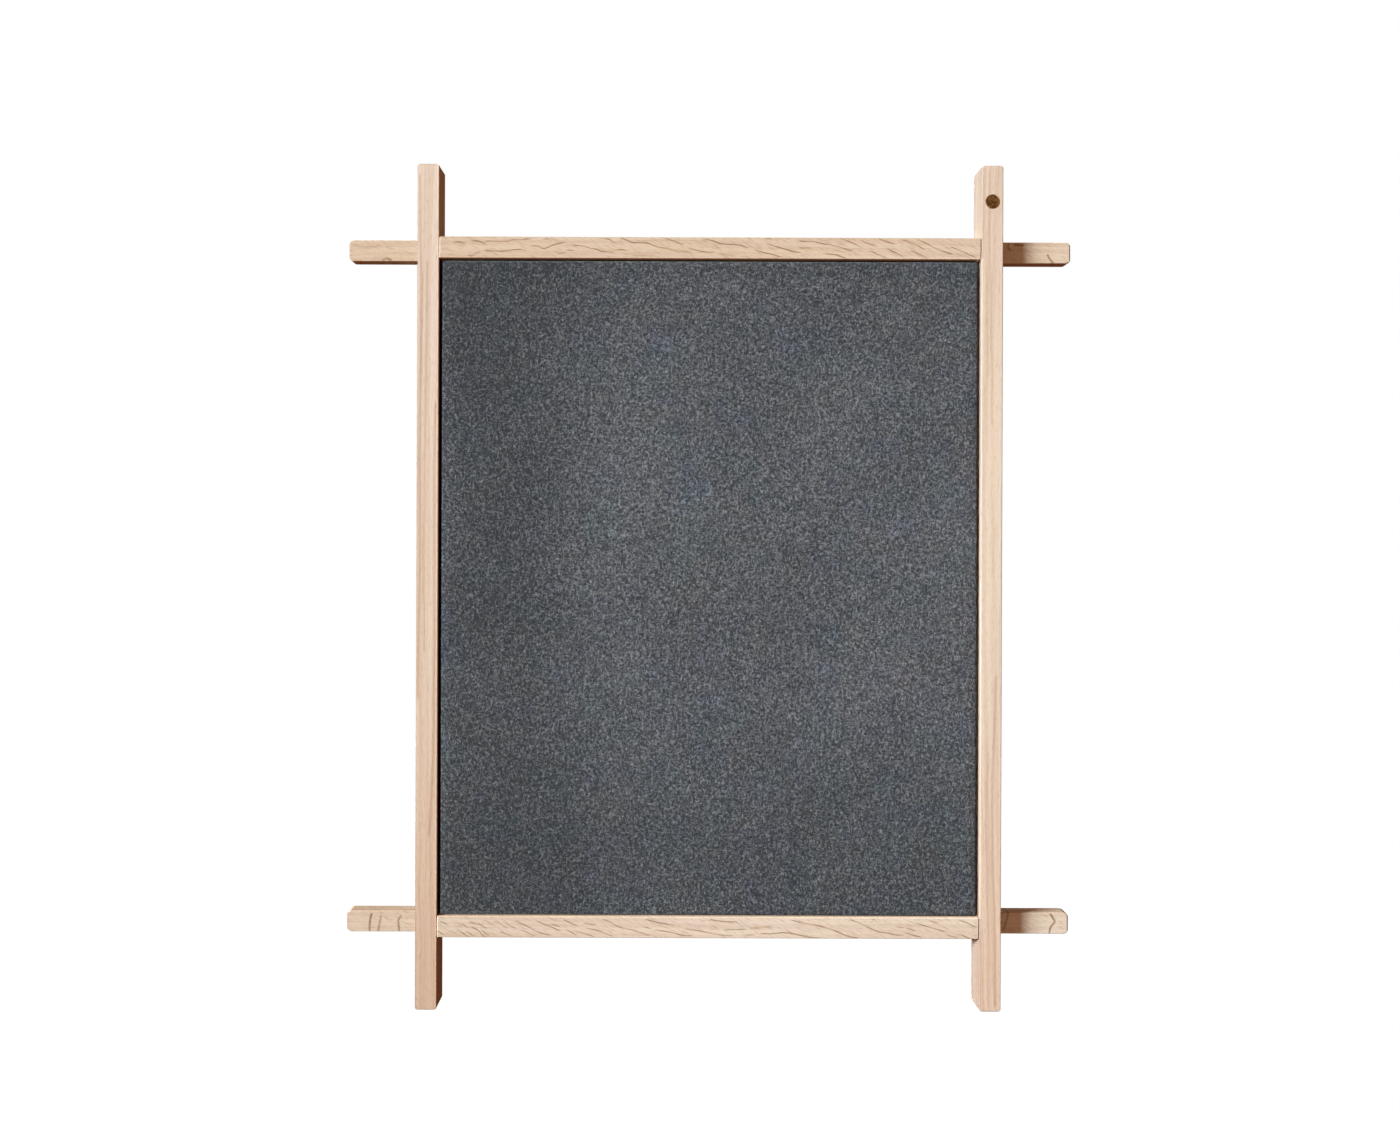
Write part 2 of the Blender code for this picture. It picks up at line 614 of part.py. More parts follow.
def build_board():
    """Make every piece of the board."""
    clear_scene()
    left = make_stile("left_stile", -1)
    right = make_stile("right_stile", 1)
    top = make_rail("top_rail", 0.0, -1)
    bottom = make_rail("bottom_rail", -RAIL_SPAN, 1)
    core = make_panel()
    backing = make_backing()
    screw_laps(left, right, top, bottom)
    screw_backing(backing, core, left, right, top, bottom)
    make_hangers(left, right)
    make_badge(right)
    make_pads()
    shade_round_pieces()


build_board()
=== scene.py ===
# %% [markdown]
# # Dressing a pin board
#
# A wall-hung pin board: two oak stiles and two oak rails cross at their ends, and a panel covered in dark felt
# fills the opening between them. The construction is already modelled and packed as a fixed frame. This lesson
# loads that frame and gives every piece the surface that the real one has: grained oak, melange felt, aged
# brass, zinc-plated screws. Everything is in metres, with X to the right, Y towards the wall and Z up.

# %% Load the frame
import math

import bmesh
import bpy
from mathutils import Matrix, Vector, noise


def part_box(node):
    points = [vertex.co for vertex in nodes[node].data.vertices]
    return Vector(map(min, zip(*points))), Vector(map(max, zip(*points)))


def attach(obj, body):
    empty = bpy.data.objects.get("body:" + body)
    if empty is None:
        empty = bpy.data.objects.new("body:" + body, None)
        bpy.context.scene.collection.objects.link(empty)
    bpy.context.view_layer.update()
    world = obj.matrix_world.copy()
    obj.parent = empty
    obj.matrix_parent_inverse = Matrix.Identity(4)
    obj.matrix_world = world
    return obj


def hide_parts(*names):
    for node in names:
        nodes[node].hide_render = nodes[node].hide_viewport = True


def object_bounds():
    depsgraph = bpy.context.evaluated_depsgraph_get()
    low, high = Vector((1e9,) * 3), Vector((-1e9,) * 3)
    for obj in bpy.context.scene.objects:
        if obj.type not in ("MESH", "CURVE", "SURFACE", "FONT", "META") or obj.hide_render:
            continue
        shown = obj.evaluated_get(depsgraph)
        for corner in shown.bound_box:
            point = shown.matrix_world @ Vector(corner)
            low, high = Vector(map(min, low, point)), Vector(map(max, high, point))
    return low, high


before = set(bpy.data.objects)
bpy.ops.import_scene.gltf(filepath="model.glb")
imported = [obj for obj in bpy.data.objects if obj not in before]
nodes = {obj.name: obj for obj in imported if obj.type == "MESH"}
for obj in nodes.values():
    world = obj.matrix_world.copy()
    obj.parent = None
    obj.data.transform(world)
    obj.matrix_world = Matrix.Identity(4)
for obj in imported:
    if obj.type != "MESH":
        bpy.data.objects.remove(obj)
cad_bounds = [list(map(float, corner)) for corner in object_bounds()]
print("pieces in the frame:", len(nodes), "box:", cad_bounds)

# %% [markdown]
# ## Small tools for materials
#
# A node material is a set of boxes wired together. Writing each wire by hand hides the idea, so a few short
# functions stand for the boxes used most: a step of arithmetic, a smooth threshold, a mix of two colours and a
# noise. All sizes are in metres.

# %% Small tools for materials
def add_node(tree, kind, settings, inputs, output=0):
    """Add a node, set its choices, set or wire its inputs, and return one of its outputs."""
    node = tree.nodes.new(kind)
    for name, value in settings.items():
        setattr(node, name, value)
    for key, value in inputs.items():
        if isinstance(value, bpy.types.NodeSocket):
            tree.links.new(value, node.inputs[key])
        else:
            node.inputs[key].default_value = value
    return node.outputs[output]


def calc(tree, operation, *values):
    """One step of arithmetic on numbers."""
    return add_node(tree, "ShaderNodeMath", {"operation": operation}, dict(enumerate(values)))


def times(tree, first, second):
    """One number times another."""
    return calc(tree, "MULTIPLY", first, second)


def vector_calc(tree, operation, *values, output=0):
    """One step of arithmetic on places or colours. Output 1 is for answers that are numbers."""
    return add_node(tree, "ShaderNodeVectorMath", {"operation": operation}, dict(enumerate(values)), output)


def between(tree, value, low, high):
    """Rise smoothly from 0 at one value to 1 at the other."""
    inputs = {0: value, 1: low, 2: high}
    return add_node(tree, "ShaderNodeMapRange", {"interpolation_type": "SMOOTHSTEP"}, inputs)


def mix(tree, amount, first, second):
    """Mix two colours: all of the first at 0 and all of the second at 1."""
    return add_node(tree, "ShaderNodeMix", {"data_type": "RGBA"}, {0: amount, 6: first, 7: second}, 2)


def piece_place(tree):
    """A point's place in its piece's own space, in metres."""
    return add_node(tree, "ShaderNodeTexCoord", {}, {}, 3)


def vary(tree, place, size, detail, output=0):
    """A smooth random value, about 0.5 on average, in lumps of a size. Output 1 has three values at once."""
    inputs = {"Vector": place, "Scale": 1.0 / size, "Detail": detail}
    return add_node(tree, "ShaderNodeTexNoise", {}, inputs, output)


def scaled(tree, place, factors):
    """Stretch a place by three factors."""
    return vector_calc(tree, "MULTIPLY", place, factors)


def fibres(tree, place, angle_degrees, size):
    """Long thin random streaks in one direction of the board's plane."""
    length, width = size
    turn = (0.0, math.radians(angle_degrees), 0.0)
    inputs = {"Vector": place, "Rotation": turn, "Scale": (length / width, 1.0, 1.0)}
    turned = add_node(tree, "ShaderNodeMapping", {"vector_type": "TEXTURE"}, inputs)
    return vary(tree, turned, width, 1.0)


def paint(red, green, blue):
    """A colour given as it looks on a screen, from 0 to 255, as the linear colour that a shader takes."""
    shares = (red / 255.0, green / 255.0, blue / 255.0)
    return tuple(s / 12.92 if s <= 0.04045 else ((s + 0.055) / 1.055) ** 2.4 for s in shares) + (1.0,)


def new_material(name, constants):
    """A material with a Principled shader, with constants set on the shader's own sockets."""
    material = bpy.data.materials.new(name)
    material.use_nodes = True
    shader = material.node_tree.nodes["Principled BSDF"]
    for socket, value in constants.items():
        shader.inputs[socket].default_value = value
    return material, material.node_tree, shader


def paint_surface(tree, shader, colour, height, distance):
    """Give a surface its colour, and let a height pattern, in shares of a distance, tilt its shading."""
    tree.links.new(colour, shader.inputs["Base Color"])
    inputs = {"Height": height, "Distance": distance, "Strength": 1.0}
    tree.links.new(add_node(tree, "ShaderNodeBump", {}, inputs), shader.inputs["Normal"])


# %% [markdown]
# ## Camera
#
# The photograph was taken from close by with a wide lens, square on to the board, and cropped so that the
# lens's axis isn't in the middle of the picture. Four measured facts match it: where the axis meets the picture,
# how many pixels the focal length is, how far the camera stood from the bars' fronts and how much it leaned.
# Blender states a crop as a shift of the sensor.

# %% Camera
IMAGE_WIDTH_PIXELS = 1400
IMAGE_HEIGHT_PIXELS = 1148
AXIS_PIXEL_X = 675.0
AXIS_PIXEL_Y = 534.0
FOCAL_PIXELS = 783.0
CAMERA_PLACE = Vector((-0.0316, -0.7410, -0.2636))
CAMERA_LEAN_DEGREES = -0.20

camera_data = bpy.data.cameras.new("photo_camera")
camera_data.sensor_fit = "HORIZONTAL"
camera_data.lens = camera_data.sensor_width * FOCAL_PIXELS / IMAGE_WIDTH_PIXELS
camera_data.shift_x = (IMAGE_WIDTH_PIXELS / 2 - AXIS_PIXEL_X) / IMAGE_WIDTH_PIXELS
camera_data.shift_y = (AXIS_PIXEL_Y - IMAGE_HEIGHT_PIXELS / 2) / IMAGE_WIDTH_PIXELS
camera_data.clip_start = 0.01
camera = bpy.data.objects.new("photo_camera", camera_data)
camera.location = CAMERA_PLACE
camera.rotation_euler = (math.radians(90.0), math.radians(CAMERA_LEAN_DEGREES), 0.0)
bpy.context.scene.collection.objects.link(camera)
bpy.context.scene.camera = camera
print("lens in mm:", round(camera_data.lens, 2), "shift:", camera_data.shift_x, camera_data.shift_y)

# %% [markdown]
# ## Light
#
# The shadows tell where the light stood. The right stile throws its shadow 28 mm across a stub that lies 10 mm
# behind it, so the light came from far to the left, and the shadow's edge is about 20 mm wide, so the light was
# a large soft one. A sun lamp with a wide angle does the same. In the photograph the sides and arrises that the
# stiles turn to the lamp are hardly brighter than their fronts, because the print holds back its brightest
# tones. So each stile has a sun of its own with a gentler slant that lights it alone, which Blender calls light
# linking, and the slanted one lights everything else. The soft sun behind the board is split in the same three
# parts, because a shared one made the stiles' backs noisy.
#
# What the lamps don't reach is a warm brown: the room gave back a little warm light, more from the camera's
# side. The sun behind the board is felt by its back alone. The background is white paper: the camera sees
# white, while the pieces only feel the faint warm light.

# %% Light
KEY_ANGLE_DEGREES = 14.0
KEY_COLOUR = (0.94, 1.0, 1.04)
FRONT_LIGHT = 2.62
KEYS = {
    "most_pieces": Vector((3.20, 1.00, -0.83)),
    "left_stile": Vector((0.50, 1.00, -0.60)),
    "right_stile": Vector((1.15, 1.00, -0.83)),
}
BACK_KEY = Vector((0.06, -1.00, -0.06))
BACK_LIGHT = 2.3
BACK_ANGLE_DEGREES = 8.0
BACK_COLOUR = (1.0, 0.98, 0.95)
ROOM_COLOUR = (0.160, 0.045, 0.012)
ROOM_FRONT_COLOUR = (0.185, 0.165, 0.125)
ROOM_LEAST = (0.040, 0.020, 0.010)
TOWARDS_CAMERA = (0.0, -1.0, 0.0)
PAPER_WHITE = (1.0, 1.0, 1.0, 1.0)

scene = bpy.context.scene
scene.view_settings.view_transform = "Standard"


def add_sun(name, direction, front_light, angle_degrees, colour):
    """A sun lamp that shines along a direction and gives the board's front, or back, a set amount of light."""
    data = bpy.data.lights.new(name, "SUN")
    data.energy = front_light / abs(direction.normalized().y)
    data.angle = math.radians(angle_degrees)
    data.color = colour
    lamp = bpy.data.objects.new(name, data)
    lamp.rotation_euler = direction.to_track_quat("-Z", "Y").to_euler()
    scene.collection.objects.link(lamp)
    return lamp


def link_light(lamp, lit, state):
    """Let a lamp reach some pieces alone (INCLUDE), or everything but those pieces (EXCLUDE)."""
    group = bpy.data.collections.new(lamp.name + "_receivers")
    for piece in lit:
        group.objects.link(piece)
    for member in group.collection_objects:
        member.light_linking.link_state = state
    lamp.light_linking.receiver_collection = group


lamps = {}
for lit, key in KEYS.items():
    lamps[lit] = [
        add_sun(lit + "_key", key, FRONT_LIGHT, KEY_ANGLE_DEGREES, KEY_COLOUR),
        add_sun(lit + "_back_light", BACK_KEY, BACK_LIGHT, BACK_ANGLE_DEGREES, BACK_COLOUR),
    ]

world = bpy.data.worlds.new("studio")
world.use_nodes = True
scene.world = world
sky = world.node_tree
towards = add_node(sky, "ShaderNodeTexCoord", {}, {})
from_front = vector_calc(sky, "DOT_PRODUCT", towards, TOWARDS_CAMERA, output=1)
room_shade = vector_calc(sky, "MULTIPLY_ADD", from_front, ROOM_FRONT_COLOUR, ROOM_COLOUR)
room_light = vector_calc(sky, "MAXIMUM", room_shade, ROOM_LEAST)
room = add_node(sky, "ShaderNodeBackground", {}, {"Color": room_light})
paper = add_node(sky, "ShaderNodeBackground", {}, {"Color": PAPER_WHITE})
seen_by_camera = add_node(sky, "ShaderNodeLightPath", {}, {})
background = add_node(sky, "ShaderNodeMixShader", {}, {0: seen_by_camera, 1: room, 2: paper})
sky.links.new(background, sky.nodes["World Output"].inputs["Surface"])
print("lamps:", sorted(lamp.name for group in lamps.values() for lamp in group))

# %% [markdown]
# ## Small tools for pieces
#
# Each new piece starts as a bmesh, is shaped with operators, and ends here: its faces are turned outwards, it
# becomes an object that rides with the board, takes a material slot, and hides the plain piece of the frame
# that it stands for.

# %% Small tools for pieces
BODY = "root"
SHARP_DEGREES = 35.0


def finish_piece(name, shape, material, stands_for):
    """Turn a bmesh into a piece of the board that stands for some frame pieces, and free the bmesh."""
    bmesh.ops.recalc_face_normals(shape, faces=shape.faces)
    mesh = bpy.data.meshes.new(name)
    shape.to_mesh(mesh)
    shape.free()
    mesh.materials.append(material)
    mesh.shade_smooth()
    mesh.set_sharp_from_angle(angle=math.radians(SHARP_DEGREES))
    piece = bpy.data.objects.new(name, mesh)
    scene.collection.objects.link(piece)
    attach(piece, BODY)
    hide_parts(*stands_for)
    return piece


# %% [markdown]
# ## Oak
#
# Broad soft stripes, a little pinker or yellower, follow the grain. Fine darker lines are the late wood of each
# year, and short dark pores lie along them. On the rails, where the saw cut the years at a slant, fine slanted
# flecks and single dark strokes run across the face.
#
# A picture could show all this from the front only, so the wood is solid here: every pattern is a function of
# the place inside the bar, and the same line runs over an edge on to the next side and ends as a dot on the end
# grain. All of it starts from one number, the layer: how far a point lies across the grain.

# %% Places and streaks inside a bar
STRIPE_SIZE = (0.30, 0.0042)
LINE_SIZE = (0.16, 0.0016)
PORE_SIZE = (0.009, 0.00045)


def bar_place(tree, centre, upright):
    """A place inside a bar: along the grain, through the bar's depth, and across it."""
    turn = (0.0, math.radians(90.0), 0.0) if upright else (0.0, 0.0, 0.0)
    offset = Vector((centre.z, centre.y, -centre.x)) if upright else centre
    inputs = {"Vector": piece_place(tree), "Location": -offset, "Rotation": turn}
    return add_node(tree, "ShaderNodeMapping", {}, inputs)


def bent_layer(tree, along, depth, across, slope, bend, lean):
    """How far a point lies across the grain, which slopes, bends along the bar and leans in depth."""
    sloped = calc(tree, "MULTIPLY_ADD", along, slope, across)
    bent = calc(tree, "MULTIPLY_ADD", times(tree, along, along), bend, sloped)
    return calc(tree, "MULTIPLY_ADD", depth, lean, bent)


def streaks(tree, along, layer, depth, seed, size, detail):
    """Random streaks of the given length and width that follow the layers."""
    length, width = size
    inputs = {0: along, 1: layer, 2: calc(tree, "ADD", depth, seed)}
    place = add_node(tree, "ShaderNodeCombineXYZ", {}, inputs)
    return vary(tree, scaled(tree, place, (width / length, 1.0, 1.0)), width, detail)


# %% [markdown]
# ## Single strokes
#
# A random pattern can't put a stroke where the real bar has one, and the strokes on the rails are what the eye
# reads as oak. So each is drawn like a pencil line: a few places in millimetres from the bar's middle, first
# along it and then up. One curve node turns the place along the bar into the height of the line there, a second
# says how dark it is, and a point is dark where it lies close to that height. Strokes that lie side by side
# need a run of their own. Strokes that stand upright on a stub can't be such a curve, so those are straight
# lines from place to place. Veins, the broad faint bands of a year, are drawn as runs too, only wider.

# %% Single strokes
MILLIMETRE = 0.001
BAR_WIDTH = 0.020
STROKE_WIDTHS = (0.00020, 0.00082)
VEIN_WIDTHS = (0.00030, 0.00190)
STUB_STROKE_WIDTHS = (0.00030, 0.00155)
STROKE_FADE = 0.0016
STUB_STROKE_FADE = 0.0005
STROKE_LEAN = 0.35


def curve_node(tree, value, points):
    """A curve through points from 0 to 1, straight from each to the next."""
    curve = tree.nodes.new("ShaderNodeFloatCurve")
    line = curve.mapping.curves[0]
    for place, height in points[1:-1]:
        line.points.new(place, height)
    line.points[0].location = points[0]
    line.points[-1].location = points[-1]
    for point in line.points:
        point.handle_type = "VECTOR"
    curve.mapping.update()
    tree.links.new(value, curve.inputs["Value"])
    return curve.outputs["Value"]


def near_line(tree, distance, widths):
    """Full on a line and gone a little way off it."""
    return calc(tree, "SUBTRACT", 1.0, between(tree, calc(tree, "ABSOLUTE", distance), *widths))


def drawn_run(tree, along, height, length, run, widths):
    """Lines of one run, each a row of places in millimetres from the bar's middle."""
    share = calc(tree, "ADD", calc(tree, "DIVIDE", along, length), 0.5)
    fade = STROKE_FADE / length
    heights = [(0.0, 0.5)]
    darks = [(0.0, 0.0)]
    for stroke in run:
        places = [(x * MILLIMETRE / length + 0.5, z * MILLIMETRE / BAR_WIDTH + 0.5) for x, z in stroke]
        heights += places
        start, end = places[0][0], places[-1][0]
        darks += [(start - fade, 0.0), (start + fade, 1.0), (end - fade, 1.0), (end + fade, 0.0)]
    line = curve_node(tree, share, heights + [(1.0, 0.5)])
    dark = curve_node(tree, share, darks + [(1.0, 0.0)])
    line_height = times(tree, calc(tree, "SUBTRACT", line, 0.5), BAR_WIDTH)
    return times(tree, near_line(tree, calc(tree, "SUBTRACT", height, line_height), widths), dark)


def straight_stroke(tree, along, height, start, end):
    """One straight stroke between two places in millimetres from the bar's middle."""
    start, end = Vector(start) * MILLIMETRE, Vector(end) * MILLIMETRE
    way = (end - start).normalized()
    middle_place = (start + end) / 2
    x = calc(tree, "SUBTRACT", along, middle_place.x)
    z = calc(tree, "SUBTRACT", height, middle_place.y)
    off = calc(tree, "MULTIPLY_ADD", x, -way.y, times(tree, z, way.x))
    on = calc(tree, "MULTIPLY_ADD", x, way.x, times(tree, z, way.y))
    half = (end - start).length / 2
    inside = near_line(tree, on, (half - STUB_STROKE_FADE, half + STUB_STROKE_FADE))
    return times(tree, near_line(tree, off, STUB_STROKE_WIDTHS), inside)


# %% [markdown]
# ## The oak material
#
# The colour is built up in layers, as a painter would: a base tone for each end of the bar, broad stripes, warm
# stripes, year lines and, last of the random ones, pores, then flecks, veins and strokes. The base tones also
# hold painted light falloff, darker towards the stiles' feet and the rails' left ends. The arrises along the
# panel get a painted highlight, a pale line, and the outer ones get painted shade. The rails' faces towards the
# panel are painted darker and warmer as painted shade, and the left stile's side deep in the gap beside the felt
# is painted near black as painted shade. The end grain is darker because its open pores take in more oil, and
# painted shade darkens it further. A layer's row holds a step of the seed, a size, the noise's detail, the span
# that counts, a strength and a tint, and the flecks' rows hold an angle, a size, a span, a strength.

# %% The oak material
GRAIN_LAYERS = [
    (0.0, STRIPE_SIZE, 2.0, (0.40, 0.60), 1.0, (0.92, 0.885, 0.865, 1.0)),
    (4.0, STRIPE_SIZE, 2.0, (0.42, 0.62), 1.0, (1.0, 0.99, 0.955, 1.0)),
    (1.0, LINE_SIZE, 2.0, (0.55, 0.70), 0.55, (0.83, 0.775, 0.72, 1.0)),
    (2.0, PORE_SIZE, 1.0, (0.60, 0.74), 0.45, (0.70, 0.62, 0.55, 1.0)),
]
FLECK_TINT = (0.78, 0.70, 0.63, 1.0)
STROKE_TINT = (0.48, 0.37, 0.29, 1.0)
VEIN_TINT = (0.84, 0.78, 0.72, 1.0)
# Painted shade on the outer arrises.
OUTER_SHADE_TINT = (0.84, 0.82, 0.80, 1.0)
# Painted shade deep in the gap beside the felt.
GAP_SHADE_TINT = (0.10, 0.07, 0.05, 1.0)
# Painted shade on the rails' faces towards the panel.
SIDE_SHADE_TINT = (0.95, 0.86, 0.77, 1.0)
# The end grain's own darker tone, deepened with painted shade.
END_GRAIN_AND_SHADE_TINT = (0.40, 0.335, 0.28, 1.0)
INNER_ARRIS = (0.0080, 0.0092)
OUTER_ARRIS = (0.0088, 0.0097)
INNER_SIDE = (0.0094, 0.0098)
OPENING_SHARE = 0.78
GAP_DEPTHS = (-0.0082, -0.0075)
WOBBLE_SIZE = 0.035
WOBBLE_REACH = 0.0035
PRESSURE_SIZE = 0.012
LEAST_PRESSURE = 0.60
STILE_FLECKS = (0.0, (0.0065, 0.00055), (0.56, 0.74), 0.60)
RAIL_FLECKS = (27.0, (0.0105, 0.00085), (0.54, 0.70), 0.75)
STROKE_HOLLOW = 0.00012
STILE_END_GRAIN = (0.0012, 0.0)
RAIL_END_GRAIN = (0.0020, 0.0006)


def tint(tree, amount, colour, factors):
    """Multiply a colour by three factors, as far as the amount says."""
    settings = {"data_type": "RGBA", "blend_type": "MULTIPLY"}
    return add_node(tree, "ShaderNodeMix", settings, {0: amount, 6: colour, 7: factors}, 2)


def oak(
    name, centre, length, upright, seed, grain, tones_and_falloff, inner, arris_highlight_tint,
    highlight_share=OPENING_SHARE, gap_shade=0.0, runs=(), strokes=(), veins=(),
):
    """Oak for one bar: grain is slope, bend and lean, the tones are the colours at low end, middle and high end,
    with painted light falloff.
    """
    material, tree, shader = new_material(name, {"Roughness": 0.58, "Specular IOR Level": 0.25})
    place = bar_place(tree, centre, upright)
    split = tree.nodes.new("ShaderNodeSeparateXYZ")
    tree.links.new(place, split.inputs[0])
    along, depth, across = split.outputs

    wobble = calc(tree, "SUBTRACT", vary(tree, place, WOBBLE_SIZE, 1.0), 0.5)
    wavy = calc(tree, "MULTIPLY_ADD", wobble, WOBBLE_REACH, across)
    layer = bent_layer(tree, along, depth, wavy, *grain)

    leaning = calc(tree, "MULTIPLY_ADD", calc(tree, "ADD", depth, BAR_WIDTH / 2), STROKE_LEAN, across)
    dark = 0.0
    for run in runs:
        dark = calc(tree, "MAXIMUM", dark, drawn_run(tree, along, leaning, length, run, STROKE_WIDTHS))
    for stroke in strokes:
        for start, end in zip(stroke, stroke[1:]):
            dark = calc(tree, "MAXIMUM", dark, straight_stroke(tree, along, across, start, end))
    pressure = between(tree, vary(tree, place, PRESSURE_SIZE, 1.0), 0.34, 0.62)
    pressure = calc(tree, "MULTIPLY_ADD", pressure, 1.0 - LEAST_PRESSURE, LEAST_PRESSURE)
    dark = times(tree, dark, pressure)
    vein = 0.0
    for strength, run in veins:
        drawn = drawn_run(tree, along, leaning, length, run, VEIN_WIDTHS)
        vein = calc(tree, "MAXIMUM", vein, times(tree, drawn, strength))
    angle, size, span, strength = STILE_FLECKS if upright else RAIL_FLECKS
    flecks = times(tree, between(tree, fibres(tree, place, angle, size), *span), strength)

    towards_panel = times(tree, across, inner)
    front = between(tree, times(tree, depth, -1.0), *INNER_ARRIS)
    far = calc(tree, "ABSOLUTE", along)
    opening = calc(tree, "LESS_THAN", far, length * OPENING_SHARE / 2)
    inner_arris = times(tree, between(tree, towards_panel, *INNER_ARRIS), front)
    # Painted highlight: a pale line along the arrises that face the panel.
    painted_highlight = times(tree, inner_arris, calc(tree, "LESS_THAN", far, length * highlight_share / 2))
    shaded_inner_arris = calc(tree, "SUBTRACT", inner_arris, painted_highlight)
    # Painted shade on the outer arrises and on the inner ones past the painted highlight.
    outer_side = between(tree, times(tree, towards_panel, -1.0), *OUTER_ARRIS)
    painted_outer_shade = calc(tree, "MAXIMUM", times(tree, outer_side, front), shaded_inner_arris)
    inner_side = between(tree, towards_panel, *INNER_SIDE)
    # Painted shade: the left stile's side deep in the gap beside the felt is painted near black.
    below_felt = times(tree, between(tree, depth, *GAP_DEPTHS), opening)
    painted_gap_shade = times(tree, times(tree, inner_side, below_felt), gap_shade)
    # The end grain's own darker tone, deepened with painted shade against the slanted lamp.
    start, full = STILE_END_GRAIN if upright else RAIL_END_GRAIN
    end_grain_and_shade = between(tree, far, length / 2 - start, length / 2 - full)

    # The end tones are the wood's own colours together with painted light falloff.
    low, centre_tone, high = [paint(*tone) for tone in tones_and_falloff]
    colour = mix(tree, between(tree, along, -length / 2, 0.0), low, centre_tone)
    colour = mix(tree, between(tree, along, 0.0, length / 2), colour, high)
    for step, size, detail, span, share, factors in GRAIN_LAYERS:
        pattern = between(tree, streaks(tree, along, layer, depth, seed + step, size, detail), *span)
        colour = tint(tree, times(tree, pattern, share), colour, factors)
    pores = pattern
    # Painted shade: the rails' faces towards the panel are painted darker and warmer.
    side = 0.0 if upright else inner_side
    layers = [
        (flecks, FLECK_TINT), (vein, VEIN_TINT), (dark, STROKE_TINT),
        (painted_highlight, (arris_highlight_tint, arris_highlight_tint, arris_highlight_tint, 1.0)), (painted_outer_shade, OUTER_SHADE_TINT),
        (side, SIDE_SHADE_TINT), (painted_gap_shade, GAP_SHADE_TINT), (end_grain_and_shade, END_GRAIN_AND_SHADE_TINT),
    ]
    for amount, factors in layers:
        colour = tint(tree, amount, colour, factors)
    hollows = calc(tree, "MULTIPLY_ADD", pores, -0.5, times(tree, dark, -0.6))
    paint_surface(tree, shader, colour, hollows, STROKE_HOLLOW)
    return material


def middle(node):
    """The middle of a frame piece's box."""
    low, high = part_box(node)
    return (low + high) / 2


# %% [markdown]
# ## The four bars
#
# The bars' shapes are right in the frame: eased arrises, half laps, rabbets and screw holes. They come as loose
# triangles, though, which would show as facets along the rounded edges. A copy with its points merged, its flat
# faces joined and its normals weighted by face area keeps the shape and looks planed and sanded. The real bars'
# ends also have round corners, as from a sander. A corner could be bevelled, but the ends already carry an ease
# that a bevel would tear. So the ends are cut into thin slices, and each slice is drawn in along a circle.

# %% The four bars
MERGE_DISTANCE = 0.000002
FLAT_DEGREES = 0.4
RAIL_END_ROUNDING = 0.0045
STILE_END_ROUNDING = 0.0027
END_TURNS_DEGREES = (0.0, 16.0, 32.0, 47.0, 62.0, 76.0)


def merged_copy(node):
    """A bmesh of a frame piece with merged points and joined flat faces."""
    shape = bmesh.new()
    shape.from_mesh(nodes[node].data)
    bmesh.ops.remove_doubles(shape, verts=shape.verts, dist=MERGE_DISTANCE)
    flat = math.radians(FLAT_DEGREES)
    bmesh.ops.dissolve_limit(shape, angle_limit=flat, verts=shape.verts, edges=shape.edges)
    return shape


def round_ends(shape, centre, length, upright):
    """Draw in the sides of a bar's last millimetres, so that its ends get round corners."""
    rounding = STILE_END_ROUNDING if upright else RAIL_END_ROUNDING
    way = Vector((0.0, 0.0, 1.0)) if upright else Vector((1.0, 0.0, 0.0))
    side = Vector((1.0, 0.0, 0.0)) if upright else Vector((0.0, 0.0, 1.0))
    start = length / 2 - rounding
    for turn in END_TURNS_DEGREES:
        past = rounding * math.sin(math.radians(turn))
        for end in (-1.0, 1.0):
            everything = shape.verts[:] + shape.edges[:] + shape.faces[:]
            cut = centre + way * end * (start + past)
            bmesh.ops.bisect_plane(shape, geom=everything, plane_co=cut, plane_no=way, dist=MERGE_DISTANCE)
    for point in shape.verts:
        off = point.co - centre
        past = min(abs(off.dot(way)) - start, rounding)
        if past > 0.0:
            drawn_in = rounding - math.sqrt(rounding ** 2 - past ** 2)
            point.co -= side * off.dot(side) * drawn_in / (BAR_WIDTH / 2)


def sanded_copy(name, node, material, rounding=None):
    """A cleanly shaded copy of a frame piece, which stands for the piece."""
    shape = merged_copy(node)
    if rounding:
        round_ends(shape, *rounding)
    piece = finish_piece(name, shape, material, [node])
    piece.modifiers.new("flat faces", "WEIGHTED_NORMAL").keep_sharp = True
    return piece


# %% [markdown]
# ## Where strokes and veins lie
#
# All places are in millimetres from the middle of the bar, first along it and then across it. Each run is a
# list of strokes that don't overlap, and a strength stands before each run of veins.

